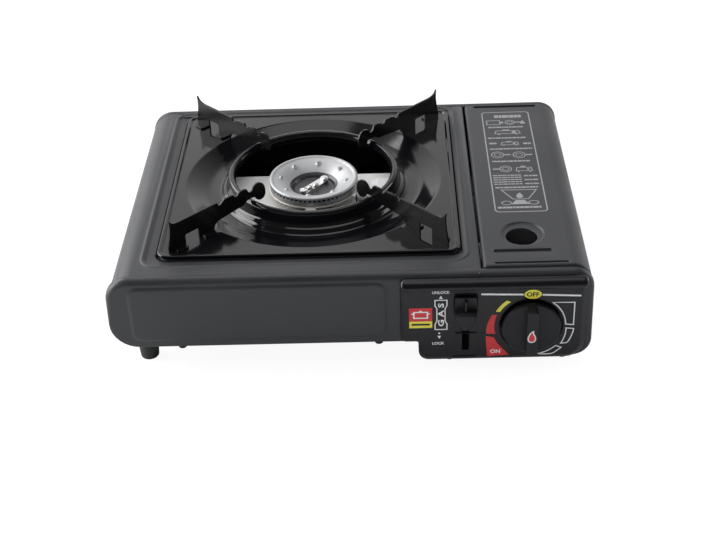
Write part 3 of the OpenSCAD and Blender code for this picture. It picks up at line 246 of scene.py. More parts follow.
def lift(line, level, plane="xy"):
    """A flat line set into space: its two coordinates go to the plane's axes and the level to the third."""
    line = np.asarray(line, float)
    level = np.broadcast_to(level, (len(line),))
    order = {"xy": (line[:, 0], line[:, 1], level), "xz": (line[:, 0], level, line[:, 1]),
        "yz": (level, line[:, 0], line[:, 1])}[plane]
    return np.stack(order, -1)


def skin(rings, closed=True):
    """Points and quads of a surface through a stack of lines with equal numbers of points: point j of line i is
    joined to point j + 1 and to line i + 1. A closed line also joins its last point to its first."""
    rings = np.asarray(rings, float)
    k, n = rings.shape[:2]
    i = np.arange(k - 1)[:, None] * n
    j = np.arange(n if closed else n - 1)[None, :]
    a, b = i + j, i + (j + 1) % n
    return rings.reshape(-1, 3), np.stack([a, b, b + n, a + n], -1).reshape(-1, 4).tolist()


def flat(outer, holes=()):
    """Points and triangles of the flat area inside one line and outside some others, between their own points."""
    lines = [np.asarray(line, float) for line in (outer, *holes)]
    faces = tessellate_polygon([[Vector(p) for p in line] for line in lines])
    return np.concatenate(lines), [list(f) for f in faces]


same_point, no_edge, sharp_edge = 2e-6, 1e-7, math.radians(38)


def make(name, parts, material, body, inside=None, wall=0.0, bevel=0.0, replaces=()):
    """One object from lists of points in millimetres and faces. Shared points are merged and the faces turned away
    from the point inside, or outwards on a closed shape. Wall is the sheet's thickness, inwards from the points."""
    points, faces, start = [], [], 0
    for p, f in parts:
        points.append(np.asarray(p, float).reshape(-1, 3))
        faces.extend([[v + start for v in face] for face in f])
        start += len(points[-1])
    mesh = bpy.data.meshes.new(name)
    mesh.from_pydata((np.concatenate(points) * MM).tolist(), [], faces)
    bm = bmesh.new()
    bm.from_mesh(mesh)
    bmesh.ops.remove_doubles(bm, verts=bm.verts, dist=same_point)
    bmesh.ops.dissolve_degenerate(bm, edges=bm.edges, dist=no_edge)
    bmesh.ops.recalc_face_normals(bm, faces=bm.faces)
    if inside is not None:
        centre = Vector(inside) * MM
        if sum(f.calc_area() * f.normal.dot((f.calc_center_median() - centre).normalized()) for f in bm.faces) < 0:
            bmesh.ops.reverse_faces(bm, faces=bm.faces)
    bm.to_mesh(mesh)
    bm.free()
    mesh.shade_smooth()
    mesh.materials.append(material)
    piece = bpy.data.objects.new(name, mesh)
    bpy.context.scene.collection.objects.link(piece)
    if wall:
        m = piece.modifiers.new("sheet", "SOLIDIFY")
        m.thickness, m.offset = wall * MM, -1
    if bevel:
        m = piece.modifiers.new("edge", "BEVEL")
        m.width, m.segments, m.limit_method, m.angle_limit = bevel * MM, 2, "ANGLE", sharp_edge
    m = piece.modifiers.new("shading", "WEIGHTED_NORMAL")
    m.weight, m.keep_sharp = 60, True
    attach(piece, body)
    if replaces:
        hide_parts(*replaces)


powder_black = finish("powder_black", (0.0235, 0.0243, 0.0280), 0.10, 14, (0.40, 0.50), 1400, 0.10)

shell_front, shell_back, top = -114.3, 130.3, 80.0
seat = rounded_frame(-145, -101.8, 83, 129.2, 10)
seat_opening = rounded_frame(-128.4, -85.8, 71.6, 114.2, 8)
left_wall = np.concatenate([[(-140, 23)], arc(-150, 41, 18, 270, 180, 12), arc(-151, 63, 17, 180, 90, 14)])
right_edge = np.concatenate([arc(90.9, 78.8, 1.2, 90, 0, 4), [(92.1, 73)]])
seat_wall = [(-3.0, 0), (-2.5, 0.06), (-1.7, 0.38), (-1.1, 0.52), (-0.5, 0.46), (0.2, 0.2), (1.0, -0.25), (1.8, -0.6),
    (2.5, -0.82), (3.1, -0.9)]
tray_seat = rounded_frame(-135.9, -93.3, 79.1, 121.7, 8)
gutter = [(-1.7, -1.3), (-1.45, -1.45), (-1.3, -2.0), (-1.2, -5.5), (1.5, -5.5), (1.7, -2.4), (1.9, -1.95),
    (2.2, -1.8)]
mouth_edge = [(-0.8, -1.8), (-0.3, -1.95), (0, -2.3), (0, -2.6)]


def pressed(outline, steps):
    """Surface round an outline in the shell's top, through pairs of a distance inwards and a height over the top."""
    return skin([lift(corner_loop(outline, d), top + h) for d, h in steps])


make("casing_shell", [
    skin([lift(left_wall, y, "xz") for y in (shell_front, shell_back)], closed=False),
    skin([lift(right_edge, y, "xz") for y in (shell_front, shell_back)], closed=False),
    flat(lift([(-151, shell_front), (90.9, shell_front), (90.9, shell_back), (-151, shell_back)], top),
        [lift(corner_loop(seat, -3.0), top)]),
    pressed(seat, seat_wall),
    skin([lift(corner_loop(seat, 3.1), top - 0.9), lift(corner_loop(tray_seat, -1.7), top - 1.3)]),
    pressed(tray_seat, gutter),
    skin([lift(corner_loop(tray_seat, 2.2), top - 1.8), lift(corner_loop(seat_opening, -0.8), top - 1.8)]),
    pressed(seat_opening, mouth_edge),
], powder_black, "casing", inside=(-30, 8, 20), wall=0.8, replaces=("body_shell",))

# Both ends are closed by deep pressed pans with rounded edges. The front one has a wide
# field pressed out of its face for stiffness, the back one has louvre slots.
pan_depth, pan_steps = 6.0, 9
field = rounded_frame(-155, 28, 27, 75, 8)
field_shoulder = [(0, 0), (0.6, 0.12), (1.4, 0.5), (2.2, 0.92), (3.2, 1.15), (4.5, 1.2)]


def end_pan(name, left_x, face_y, inwards, edges, holes, features, replaces):
    """A pan: its rim follows the outline, turns over a quarter circle into the face, and at the open edge folds in to
    the tongue that reaches under the shell, along the left wall and the top. The quarter circle's radius changes from
    the first of the edges at the bottom to the second at the top, between heights of 40 and 70 mm."""
    turn = np.linspace(0, math.pi / 2, pan_steps + 1)
    pan_outline = [(left_x, 23, 20), (48, 23, 2), (48, 8, 7), (170, 8, 14), (170, 80, 15), (left_x, 80, 17)]
    rings = [lift(corner_loop(pan_outline), face_y + inwards * pan_depth, "xz")]
    share = np.clip((corner_loop(pan_outline)[:, 1:] - 40) / 30, 0, 1)
    low, high = ([lift(corner_loop(pan_outline, e * (1 - math.cos(a))), face_y + inwards * e * (1 - math.sin(a)), "xz")
        for a in turn] for e in edges)
    rings += [a + (b - a) * share for a, b in zip(low, high)]
    tongue = []
    for inset, left, depth in ((0.05, left_x, pan_depth - 0.05), (0.9, -168, pan_depth - 0.05),
            (0.9, -168, pan_depth + 5.9)):
        line = np.concatenate([[(left + inset, 43)], arc(left + 17, 63, 17 - inset, 180, 90, 8),
                [(89.5, 80 - inset)]])
        tongue.append(lift(line, face_y + inwards * depth, "xz"))
    parts = [skin(rings), flat(rings[-1], holes), skin(tongue, closed=False), *features]
    make(name, parts, powder_black, "casing", inside=(0, 8, 45), wall=0.8, replaces=replaces)


front_y, back_y = -120.5, 136.5
spindle_hole = lift(ring(126.5, 38, 5, 24), front_y, "xz")
lever_hole = lift(corner_loop(rounded_frame(77.5, 17, 84.5, 46.8, 1)), front_y, "xz")
end_pan("front_pan", -170, front_y, 1, (1.6, 5.0), [
    lift(corner_loop(field), front_y, "xz"), spindle_hole, lever_hole,
], [
    skin([lift(corner_loop(field, d), front_y - h, "xz") for d, h in field_shoulder]),
    flat(lift(corner_loop(field, 4.5), front_y - 1.2, "xz")),
], ("front_cap",))


def louvres(xs, z0, z1, radius):
    """Upright slots with round ends at the given places."""
    return [lift(corner_loop(rounded_frame(x - radius, z0 - radius, x + radius, z1 + radius, radius - 0.3), steps=6),
            back_y, "xz") for x in xs]


end_pan("back_pan", -168.5, back_y, -1, (1.8, 1.8), louvres(105.55 + 16 * np.arange(4), 28, 58, 2), [], ("back_cap",))

# ---------------------------------------------------------------- lid over the cartridge
# The lid is pressed from the same sheet and coated like the casing. It has a finger hole
# in a dished ring and three stiffening grooves, and hinges on its left edge.
lid_left, lid_right, lid_front, lid_back, lid_top, lid_low = 93.5, 169.0, -113.7, 129.7, 81.5, 40.0
lid_edge = 2.2
finger = (123.0, -75.2)
dish = (124.0, -72.4)


def lid_line(d):
    """Section of the lid moved in by d: down the left edge, over a small and a large corner, down the right side."""
    left, right, high = lid_left + d, lid_right - d, lid_top - d
    small, large = max(2.5 - d, 0.2), max(15 - d, 0.4)
    return np.concatenate([[(left, min(77.5, high - small - 0.1))],
            arc(left + small, high - small, small, 180, 90, 5), arc(right - large, high - large, large, 90, 0, 14),
            [(right, lid_low)]])


# Each step is a distance in from the lid's sides and one back from its end, round the bent edge.
turn = np.linspace(0, math.pi / 2, 7)
lid_steps = [(5.5, 0.0)] + [(lid_edge * (1 - math.sin(a)), lid_edge * (1 - math.cos(a))) for a in turn]
front_half = [lift(lid_line(d), lid_front + e, "xz") for d, e in lid_steps]
back_half = [lift(lid_line(d), lid_back - e, "xz") for d, e in reversed(lid_steps)]
crown = [r[6:8] for r in (front_half[-1], back_half[0])]
grooves = [rounded_frame(100.5, 123.5, 153.0, 127.4, 1.6), rounded_frame(101.5, -97.2, 143.2, -92.8, 1.8),
    rounded_frame(101.3, -111.2, 153.0, -108.7, 1.0)]
# The grooves' walls go inwards and down, the ring and the hole are radii and heights over the lid.
groove_wall = [(0, 0), (0.2, -0.2), (0.5, -1.1), (0.7, -1.5), (1.0, -1.6)]
dish_wall = [(15.9, 0), (15.5, -0.12), (15.0, -0.6), (14.6, -1.05), (14.0, -1.2)]
finger_wall = [(11.7, -1.2), (11.35, -1.3), (11.2, -1.6), (11.2, -2.0)]
dish_lines = [lift(ring(*dish, r, 64), lid_top + h) for r, h in dish_wall]
finger_lines = [lift(ring(*finger, r, 64), lid_top + h) for r, h in finger_wall]
lid_sides = [skin([r[:7] for r in front_half + back_half], closed=False),
    skin([r[7:] for r in front_half + back_half], closed=False)]
lid_ends = [skin([r[6:8] for r in half], closed=False) for half in (front_half, back_half)]
lid_flat = flat([crown[0][0], crown[0][1], crown[1][1], crown[1][0]],
    [lift(corner_loop(g), lid_top) for g in grooves] + [dish_lines[0]])
lid_ears = [flat(lift([(93.7, 74), (101, 74), (101, 76.3), (93.7, 76.3)], y, "xz")) for y in (lid_front, lid_back)]
lid_grooves = [skin([lift(corner_loop(g, d), lid_top + h) for d, h in groove_wall]) for g in grooves]
lid_grooves += [flat(lift(corner_loop(g, d), lid_top - 1.6)) for g, d in zip(grooves, (1.0, 1.0, 0.95))]
make("lid_shell", [
    *lid_sides, *lid_ends, lid_flat, skin(dish_lines), flat(dish_lines[-1], [finger_lines[0]]), skin(finger_lines),
    *lid_grooves, *lid_ears,
], powder_black, "lid", inside=(120, 8, 50), wall=0.8, replaces=("lid",))

# ---------------------------------------------------------------- drip tray
# A square tray of enamelled steel. A round dish goes down from its flat corners and up
# again to a rolled collar round the flame. It lies loose on the shell's seat.
enamel_black = finish("enamel_black", (0.0050, 0.0050, 0.0062), 0.12, 20, (0.08, 0.14), 160, 0.05)
burner = np.array((-28.4, 14.2))
tray_half, tray_corner = 107.5, 8.0
fan = np.radians(np.unique(np.concatenate([np.arange(0, 360, 2.5),
            *(np.linspace(q - 6, q + 6, 25) for q in (45, 135, 225, 315))])))


def square_line(inset, level):
    """The tray's outline seen from the burner's axis: in each direction, the distance to the nearer straight side, or
    to the corner's circle where the direction passes through it."""
    half, radius = tray_half - inset, max(tray_corner - inset, 0.3)
    c, s = np.abs(np.cos(fan)), np.abs(np.sin(fan))
    straight = half / np.maximum(c, s)
    middle = half - radius
    along = middle * (c + s)
    reach = along + np.sqrt(np.maximum(along ** 2 - 2 * middle ** 2 + radius ** 2, 0))
    corner = np.minimum(c, s) * straight > middle
    r = np.where(corner, reach, straight)
    return np.stack([burner[0] + r * np.cos(fan), burner[1] + r * np.sin(fan), np.full_like(r, level)], -1)


def round_line(radius, level):
    """Circle about the burner's axis in the same directions as the tray's outline."""
    x, y = burner[0] + radius * np.cos(fan), burner[1] + radius * np.sin(fan)
    return np.stack([x, y, np.full_like(fan, level)], -1)


# Radius and height from the dish's edge over the steps to the collar's inner lip, then distance
# inwards and height of the rim.
dish_curve = [(98.2, 81), (97.5, 80.88), (96.5, 80.5), (95.2, 79.95), (92, 78.6), (88, 76.95), (84.6, 75.5),
    (82.6, 74.7), (81, 74.25), (79.4, 74.04), (77.5, 74), (74, 74), (72.4, 74.1), (71.2, 74.5), (70.3, 75.2),
    (69.7, 76.2), (69.3, 77.0), (68.7, 77.55), (67.9, 77.85), (67.1, 78.2), (66.4, 79.1), (65.9, 80.4), (65.5, 82.4),
    (65.2, 84.8), (65.0, 86.6), (64.7, 87.9), (64.1, 88.8), (63.2, 89.35), (62.2, 89.5), (61.2, 89.3), (60.3, 88.7),
    (59.6, 87.6), (59.2, 86.2), (59.0, 84.6)]
rim_curve = [(2.4, 78.2), (1.9, 79.3), (1.0, 79.9), (0.25, 80.5), (0, 81.2), (0.12, 81.7), (0.45, 82.05),
    (0.95, 82.2), (2.1, 82.2), (2.5, 82.05), (2.9, 81.6), (3.3, 81.15), (4.0, 81)]
make("drip_tray_enamelled", [skin([square_line(d, z) for d, z in rim_curve]),
        skin([square_line(4.0, 81), round_line(98.2, 81)]), skin([round_line(r, z) for r, z in dish_curve])],
    enamel_black, "tray", inside=(-28.4, 14.2, 60), wall=0.9, replaces=("drip_tray",))

# ---------------------------------------------------------------- pan arms
# Four stamped plates stand on the tray's corners. Each has a pointed tip, notches that stop
# a pan from slipping, a window, a lobe that hangs in the flame opening and two bent feet.
arm_black = finish("arm_black", (0.0045, 0.0044, 0.0044), 0.15, 60, (0.20, 0.30), 500, 0.10, glint=0.36)
reach, arm_top, arm_sheet = 140.47, 20.0, 1.5
# Distances from the burner's axis and heights over the tray: round the window in the foot, up the
# tip, back along the notched top, round the lobe and out along the underside.
tip = np.array([(-0.8, 0), (0, 0.8), (-0.9, 6.0), (-2.2, 12.0), (-2.9, 17.0), (-2.9, 21.0), (-2.5, 24.9),
        (-3.4, 23.6), (-4.8, 21.8), (-7.2, 20.6), (-11, arm_top)])
window = [(112.87, 0), (112.87, 6.6), (113.67, 7.4), (124.07, 7.4), (124.87, 6.6), (124.87, 0)]
outer_notch = [(94.2, 0), (93.5, -0.9), (93.1, -2.7), (91.6, -2.9), (90.2, -2.2), (88.2, -0.7), (86.0, 0)]
inner_notch = [(79.4, 0), (78.2, -1.0), (77.4, -2.4), (75.2, -2.6), (74.2, -1.3), (72.8, -0.3), (71.0, -0.05)]
neck = [(67.4, -0.1), (65.9, -1.0), (64.7, -3.4), (63.3, -4.9)]
lobe = [(61.6, -4.4), (60.6, -2.9), (59.3, -1.2), (57.4, -0.3), (55.0, -0.05), (52.6, -0.7), (50.6, -2.3),
    (49.2, -4.7), (48.5, -7.6), (48.5, -10.6), (49.4, -13.0), (51.2, -14.5), (53.6, -14.9), (56.0, -14.2),
    (57.7, -12.6), (58.5, -10.8)]
underside = [(58.6, 9.6), (60.5, 10.0), (66, 9.9), (68.4, 8.6), (70.8, 7.0), (77, 6.8), (94.5, 5.2), (97.2, 3.4)]
top_line = np.concatenate([outer_notch, inner_notch, neck, lobe]) + (0, arm_top)
arm_line = np.concatenate([[(99, 0)], window, tip + (reach, 0), top_line, underside])
for name, angle in (("arm_front_left", 225), ("arm_front_right", 315), ("arm_back_left", 135),
        ("arm_back_right", 45)):
    a = math.radians(angle)
    out, across = np.array((math.cos(a), math.sin(a), 0)), np.array((-math.sin(a), math.cos(a), 0))

    def arm_points(line, offset):
        """Points of a line in the arm's plane, moved sideways by the offset and turned about the burner's axis to the
        arm's angle."""
        line = np.asarray(line, float)
        return np.array((*burner, 81.0)) + line[:, :1] * out + offset * across + line[:, 1:] * np.array((0, 0, 1))

    sides = [flat(arm_points(arm_line, s * arm_sheet / 2)) for s in (-1, 1)]
    walls = [skin([arm_points(arm_line, -arm_sheet / 2), arm_points(arm_line, arm_sheet / 2)])]
    feet = []
    for foot in (reach - 14, 101):
        tab = [(foot, -0.74), (foot + 10, -0.74), (foot + 10, 5.6), (foot + 8.4, 7.2), (foot + 1.6, 7.2), (foot, 5.6)]
        layers = [np.array((*burner, 81.0 + z)) + np.array(tab)[:, :1] * out + np.array(tab)[:, 1:] * across
            for z in (0.02, arm_sheet)]
        feet += [skin(layers), flat(layers[0]), flat(layers[1])]
    make(name + "_plate", sides + walls + feet, arm_black, "tray", bevel=0.3, replaces=(name,))

# ---------------------------------------------------------------- burner
# The head is spun and pressed aluminium: a shallow bowl with a bright rolled rim, a ring of
# flame slots in its skirt, small raised ports in the bowl and a deep recess for the clamp.


def turned(line, centre, count=96):
    """Surface of revolution: the line of radius and height is carried round the upright axis through the centre."""
    line = np.asarray(line, float)
    a = np.radians(np.arange(count) * 360 / count)
    return skin(np.stack([centre[0] + line[:, 0][:, None] * np.cos(a), centre[1] + line[:, 0][:, None] * np.sin(a),
                np.repeat(line[:, 1][:, None], count, 1)], -1))


bright_aluminium = finish("bright_aluminium", (0.46, 0.46, 0.465), 0.06, 70, (0.42, 0.52), 900, 0.10, metal=0.5)
# Painted shade: the recess gets a far darker aluminium than the bowl, for the shade down inside it.
recess_shade = finish("recess_shade", (0.085, 0.085, 0.09), 0.15, 120, (0.32, 0.42), 900, 0.10, metal=0.8)
# Painted shade: a near-black matte for the ring set just behind the flame slots, where the inside of the head lies in
# shade.
slot_shade = finish("slot_shade", (0.02, 0.019, 0.018), 0.15, 120, (0.6, 0.7), 900, 0.10)
head_turns = 480
head_fan = np.radians(np.arange(head_turns) * 360 / head_turns)
# Radius and height from the skirt's foot over the rolled rim, down the bowl and into the recess.
rim_profile = [(33.4, 75.4), (33.6, 77.2), (33.75, 78.9), (33.9, 81.0), (33.95, 81.3), (34.0, 81.6), (33.9, 82.1),
    (33.6, 82.6), (33.1, 82.9), (32.5, 83.0), (31.9, 82.97), (31.4, 82.8), (31.0, 82.5), (30.7, 82.15)]
bowl_profile = [(r, 82 - 0.185 * (30.4 - r) - 0.0246 * (30.4 - r) ** 2) for r in np.arange(30.3, 17.4, -0.3)]
recess_profile = [(17.0, 75.1), (16.5, 74.7), (16.0, 74.2), (15.7, 73.7), (15.5, 73.1), (15.2, 72.75), (14.6, 72.55),
    (13.8, 72.5), (8, 72.5), (2.5, 72.5)]
head_curve = np.array(rim_profile + bowl_profile + recess_profile)
port_circle, port_height, port_width, port_hole = 24.6, 1.9, 1.7, 0.95
port_spots = np.radians(np.arange(8) * 45 + 38)
radius_grid, fan_grid = np.meshgrid(head_curve[:, 0], head_fan, indexing="ij")
head_x, head_y = radius_grid * np.cos(fan_grid), radius_grid * np.sin(fan_grid)
port_gap = np.min(np.hypot(head_x[..., None] - port_circle * np.cos(port_spots),
        head_y[..., None] - port_circle * np.sin(port_spots)), -1)
in_bowl = (radius_grid < 30.5) & (radius_grid > 17)
head_z = head_curve[:, 1][:, None] + in_bowl * port_height * np.exp(-(port_gap / port_width) ** 3)
head_points, head_faces = skin(np.stack([burner[0] + head_x, burner[1] + head_y, head_z], -1))
row, step = np.divmod(np.arange(len(head_faces)), head_turns)
port_open = in_bowl[:-1].ravel() & (port_gap[:-1].ravel() < port_hole)
# The flame slots are in the third row of the skirt, one in every eight steps and five steps wide.
slot_open = (row == 2) & (step % 8 >= 2) & (step % 8 <= 6)
head_faces = [f for f, gone in zip(head_faces, port_open | slot_open) if not gone]
# The recess is split off from the bowl so that it can carry the darker material of painted shade.
recess_rings = 14
recess_start = len(head_points) - recess_rings * head_turns
bowl_end = recess_start + head_turns
recess_faces = [[v - recess_start for v in f] for f in head_faces if min(f) >= recess_start]
recess_faces.append(list(range((recess_rings - 1) * head_turns, recess_rings * head_turns)))
make("burner_head_spun", [(head_points[:bowl_end], [f for f in head_faces if max(f) < bowl_end])], bright_aluminium,
    "casing", inside=(-28.4, 14.2, 70), wall=0.9, replaces=("burner_head",))
# The ring inside the skirt is painted shade, so that the flame slots show dark.
make("burner_head_inside", [turned([(32.3, 77.6), (32.3, 81.4)], burner, 96)], slot_shade, "casing",
    inside=(-28.4, 14.2, 78))
make("burner_head_recess", [(head_points[recess_start:], recess_faces)], recess_shade, "casing",
    inside=(-28.4, 14.2, 60), wall=0.9)

dull_aluminium = finish("dull_aluminium", (0.70, 0.66, 0.61), 0.10, 50, (0.35, 0.5), 700, 0.15, metal=0.4)
cup_curve = [(9, 68.2), (23.6, 68.1), (24.4, 68.4), (31.0, 73.6), (31.6, 74.0), (34.2, 74.05), (34.55, 74.3),
    (34.6, 74.7), (34.5, 75.1), (34.2, 75.35), (30.8, 75.3), (23.6, 69.5), (22.8, 69.2), (9, 69.2), (9, 68.2)]
cup_tab = [np.array(((-33.2, -23.2, z), (-25.6, -23.2, z), (-25.6, -18.4, z), (-33.2, -18.4, z)))
    for z in (74.05, 75.15)]
make("burner_cup_spun", [turned(cup_curve, burner, 144), skin(cup_tab), flat(cup_tab[0]), flat(cup_tab[1])],
    dull_aluminium, "casing", bevel=0.2, replaces=("burner_cup",))

bright_steel = finish("bright_steel", (0.50, 0.50, 0.50), 0.06, 150, (0.22, 0.30), 900, 0.05, metal=1.0)
stud_curve = [(2.6, 74.6), (2.5, 75.4), (2.1, 76.2), (1.3, 76.8), (0.5, 77.0), (0.02, 77.05)]
stud_spots = ((-6.4, -7.2), (-2.6, -4.5), (1.7, -0.8), (8.3, 7.8))
make("clamp_pressed_studs", [turned(stud_curve, burner + spot, 24) for spot in stud_spots], bright_steel, "casing",
    inside=(-28.4, 14.2, 60))

# ---------------------------------------------------------------- control panel
# One moulding of glossy black plastic under a hood, with a round recess for the knob and a
# pocket for the lock lever. The marks are printed on it.
gloss_black = finish("gloss_black", (0.0056, 0.0054, 0.0072), 0.08, 30, (0.24, 0.32), 600, 0.05, glint=0.36)
panel_y = -124.5
panel_outline = [(35.6, 24, 4), (48, 24, 2), (48, 8, 7), (165, 8, 14), (165, 77, 8), (35.6, 77, 4)]
knob_spot = (126.5, 38.0)
# Distance inwards and forwards round the panel's edge.
panel_edge = [(0, 120.52), (0, 121.0), (0.15, 121.6), (0.6, 122.2), (3.2, 123.95), (3.9, 124.3), (4.4, 124.5)]
pocket = rounded_frame(72.4, 32.4, 89.6, 70.0, 2)
pocket_slot = rounded_frame(78.3, 32.6, 83.7, 45.9, 0.5)
lower_slot = rounded_frame(78.3, 17.9, 83.7, 32.2, 0.8)
seam = rounded_frame(71.5, 11.9, 88.3, 13.1, 0.5)
knob_recess = [(22.5, 124.5), (22.15, 124.35), (22.0, 124.0), (22.0, 121.6)]
knob_ring = [lift(ring(*knob_spot, r, 96), -y, "xz") for r, y in knob_recess]
spindle_ring = lift(ring(*knob_spot, 4, 32), -121.6, "xz")
front_lines = [lift(corner_loop(o, 0, 5), panel_y, "xz") for o in (pocket, lower_slot, seam)]
pocket_floor = lift(corner_loop(pocket, 0.3, 5), panel_y + 1.0, "xz")
pocket_hole = [lift(corner_loop(pocket_slot, 0, 3), y, "xz") for y in (panel_y + 1.0, panel_y + 2.4)]
lower_hole = [lift(corner_loop(lower_slot, d, 5), panel_y + h, "xz") for d, h in ((0, 0), (0.2, 0.3), (0.2, 2.4))]
seam_lines = [lift(corner_loop(seam, d, 5), panel_y + h, "xz") for d, h in ((0, 0), (0.3, 0.7))]
# Height and depth of the hood's section, from the cap's face round to the panel's.
hood_line = np.array([(77, -120.52), (77, -122.6), (76.8, -124.0), (76.3, -125.3), (75.5, -126.5), (74.4, -127.4),
        (73.1, -127.9), (71.9, -127.9), (70.9, -127.4), (70.2, -126.5), (69.8, -125.4), (69.7, -124.4)])
hood_left, hood_right = 39.2, 161.4
hood_shell = [lift(hood_line[:, ::-1], x, "yz") for x in (hood_left, hood_right)]
hood_middle = np.array((-123.2, 73.4))
hood_caps = []
for x, way in ((hood_left, -1), (hood_right, 1)):
    rounding = [(1, 0), (0.96, 1.0), (0.88, 1.9), (0.74, 2.7), (0.5, 3.3)]
    caps = [lift(hood_middle + (hood_line[:, ::-1] - hood_middle) * s, x + way * e, "yz") for s, e in rounding]
    hood_caps += [skin(caps, closed=False), flat(caps[-1])]
make("control_panel_moulding", [
    skin([lift(corner_loop(panel_outline, d, 6), -y, "xz") for d, y in panel_edge]),
    flat(lift(corner_loop(panel_outline, 4.4, 6), panel_y, "xz"), [knob_ring[0], *front_lines]),
    skin(knob_ring), flat(knob_ring[-1], [spindle_ring]),
    skin([front_lines[0], pocket_floor]), flat(pocket_floor, [pocket_hole[0]]), skin(pocket_hole),
    skin(lower_hole), skin(seam_lines), flat(seam_lines[1]),
    skin(hood_shell, closed=False), *hood_caps,
], gloss_black, "casing", inside=(100, -100, 42), replaces=("control_panel",))

# ---------------------------------------------------------------- knob
# The knob is a flat disc with an upright grip bar. It turns the gas valve and works the igniter.
knob_black = finish("knob_black", (0.0075, 0.0078, 0.0095), 0.08, 40, (0.46, 0.54), 900, 0.08, glint=0.35)
# Radius and depth of the disc: out along its back, round the edge and in over the ring on its face.
disc_line = [(3.1, -125.3), (20.0, -125.3), (20.4, -125.6), (20.5, -126.2), (20.5, -127.9), (20.3, -128.5),
    (19.9, -128.85), (19.4, -129.0), (17.9, -129.0), (17.6, -128.8), (17.2, -128.8), (16.9, -129.0), (0.05, -129.0)]
turns = np.radians(np.arange(144) * 2.5)
disc = np.array(disc_line)
disc_rings = np.stack([knob_spot[0] + disc[:, 0][:, None] * np.cos(turns), np.repeat(disc[:, 1][:, None], 144, 1),
        knob_spot[1] + disc[:, 0][:, None] * np.sin(turns)], -1)
grip = rounded_frame(-4 + knob_spot[0], -18.9 + knob_spot[1], 4 + knob_spot[0], 18.9 + knob_spot[1], 2.6)
grip_curve = [(-0.6, -128.9), (-0.2, -129.2), (0, -129.8), (0.06, -135.7), (0.16, -136.08), (0.38, -136.36),
    (0.7, -136.44)]
grip_rings = [lift(corner_loop(grip, d, 6), y, "xz") for d, y in grip_curve]
make("knob_moulding", [skin(disc_rings), skin(grip_rings), flat(grip_rings[-1])], knob_black, "control",
    inside=(126.5, -127, 38), replaces=("knob",))

# ---------------------------------------------------------------- lock lever
# The lever's thumb piece tapers down to the slot that it slides in.
thumb_line = np.concatenate([arc(75.2, 62.3, 1.8, 180, 90, 4), arc(86.8, 62.3, 1.8, 90, 0, 4),
        [(88.9, 55.5), (88.4, 51.0), (87.2, 46.6), (85.2, 42.4), (83.8, 40.0), (83.2, 39.4)],
        [(78.8, 39.4), (78.2, 40.0), (76.8, 42.4), (74.8, 46.6), (73.6, 51.0), (73.1, 55.5)]])
# The thumb piece and its nose shrink about their middles as they come forwards.
thumb_middle = np.array((81.0, 53.0))
thumb_curve = [(1.0, -125.0), (1.0, -126.0), (0.985, -126.6)]
thumb_rings = [lift(thumb_middle + (thumb_line - thumb_middle) * s, y, "xz") for s, y in thumb_curve]
nose_line = np.concatenate([[(88.7, 54.4), (88.1, 50.8), (86.9, 46.6), (85.0, 42.5), (83.5, 40.2)],
        [(78.5, 40.2), (77.0, 42.5), (75.1, 46.6), (73.9, 50.8), (73.3, 54.4)]])
nose_middle = np.array((81.0, 49.5))
nose_curve = [(1, -126.6), (0.985, -129.5), (0.96, -131.4), (0.9, -132.6), (0.8, -133.3), (0.66, -133.5)]
nose_rings = [lift(nose_middle + (nose_line - nose_middle) * s, y, "xz") for s, y in nose_curve]
rib, rib_curve = rounded_frame(79.9, 54.0, 81.9, 62.6, 0.9), [(0, -126.6), (0, -129.4), (0.3, -129.9), (0.6, -130.0)]
rib_rings = [lift(corner_loop(rib, d, 4), y, "xz") for d, y in rib_curve]
make("lock_thumb_piece", [skin(thumb_rings), flat(thumb_rings[0]), flat(thumb_rings[-1], [nose_rings[0]]),
        skin(nose_rings), flat(nose_rings[-1]), skin(rib_rings), flat(rib_rings[-1])], knob_black, "lock",
    replaces=("lock_lever",))

# ---------------------------------------------------------------- printed marks
# Screen printed marks: arcs, arrows and short words on the panel, a flame on the knob, and
# on the lid an outlined block of pictograms with bars in place of lines of lettering.


def stroke(line, wide, closed=True):
    """Band of the given width along a flat line. At each point its two edges lie along the mitre of the segments."""
    p = np.asarray(line, float)
    before, after = np.roll(p, 1, 0), np.roll(p, -1, 0)
    if not closed:
        before[0], after[-1] = 2 * p[0] - p[1], 2 * p[-1] - p[-2]
    a, b = p - before, after - p
    a /= np.linalg.norm(a, axis=1)[:, None]
    b /= np.linalg.norm(b, axis=1)[:, None]
    mitre = (a + b)[:, ::-1] * (-1, 1) / np.maximum(1 + np.sum(a * b, 1), 0.4)[:, None]
    n = len(p)
    faces = [[i, (i + 1) % n, n + (i + 1) % n, n + i] for i in range(n if closed else n - 1)]
    return np.concatenate([p + mitre * wide / 2, p - mitre * wide / 2]), faces


def oval(x, y, rx, ry, steps=40):
    """Closed ellipse."""
    a = np.arange(steps) * 2 * math.pi / steps
    return np.stack([x + rx * np.cos(a), y + ry * np.sin(a)], -1)


def block(x0, y0, x1, y1):
    """Filled rectangle."""
    return flat([(x0, y0), (x1, y0), (x1, y1), (x0, y1)])


def letters(text, centre, wide, high, upwards=False):
    """A word in the built-in font, scaled to a width and height about its centre. Upwards turns it by a quarter."""
    curve = bpy.data.curves.new("word", "FONT")
    curve.body, curve.resolution_u, curve.offset = text, 3, 0.026
    holder = bpy.data.objects.new("word", curve)
    shape = bpy.data.meshes.new_from_object(holder)
    p = np.array([v.co[:2] for v in shape.vertices])
    faces = [list(f.vertices) for f in shape.polygons]
    bpy.data.objects.remove(holder)
    bpy.data.meshes.remove(shape)
    p = (p - (p.max(0) + p.min(0)) / 2) / (p.max(0) - p.min(0)) * (wide, high)
    return (p[:, ::-1] * (-1, 1) if upwards else p) + centre, faces


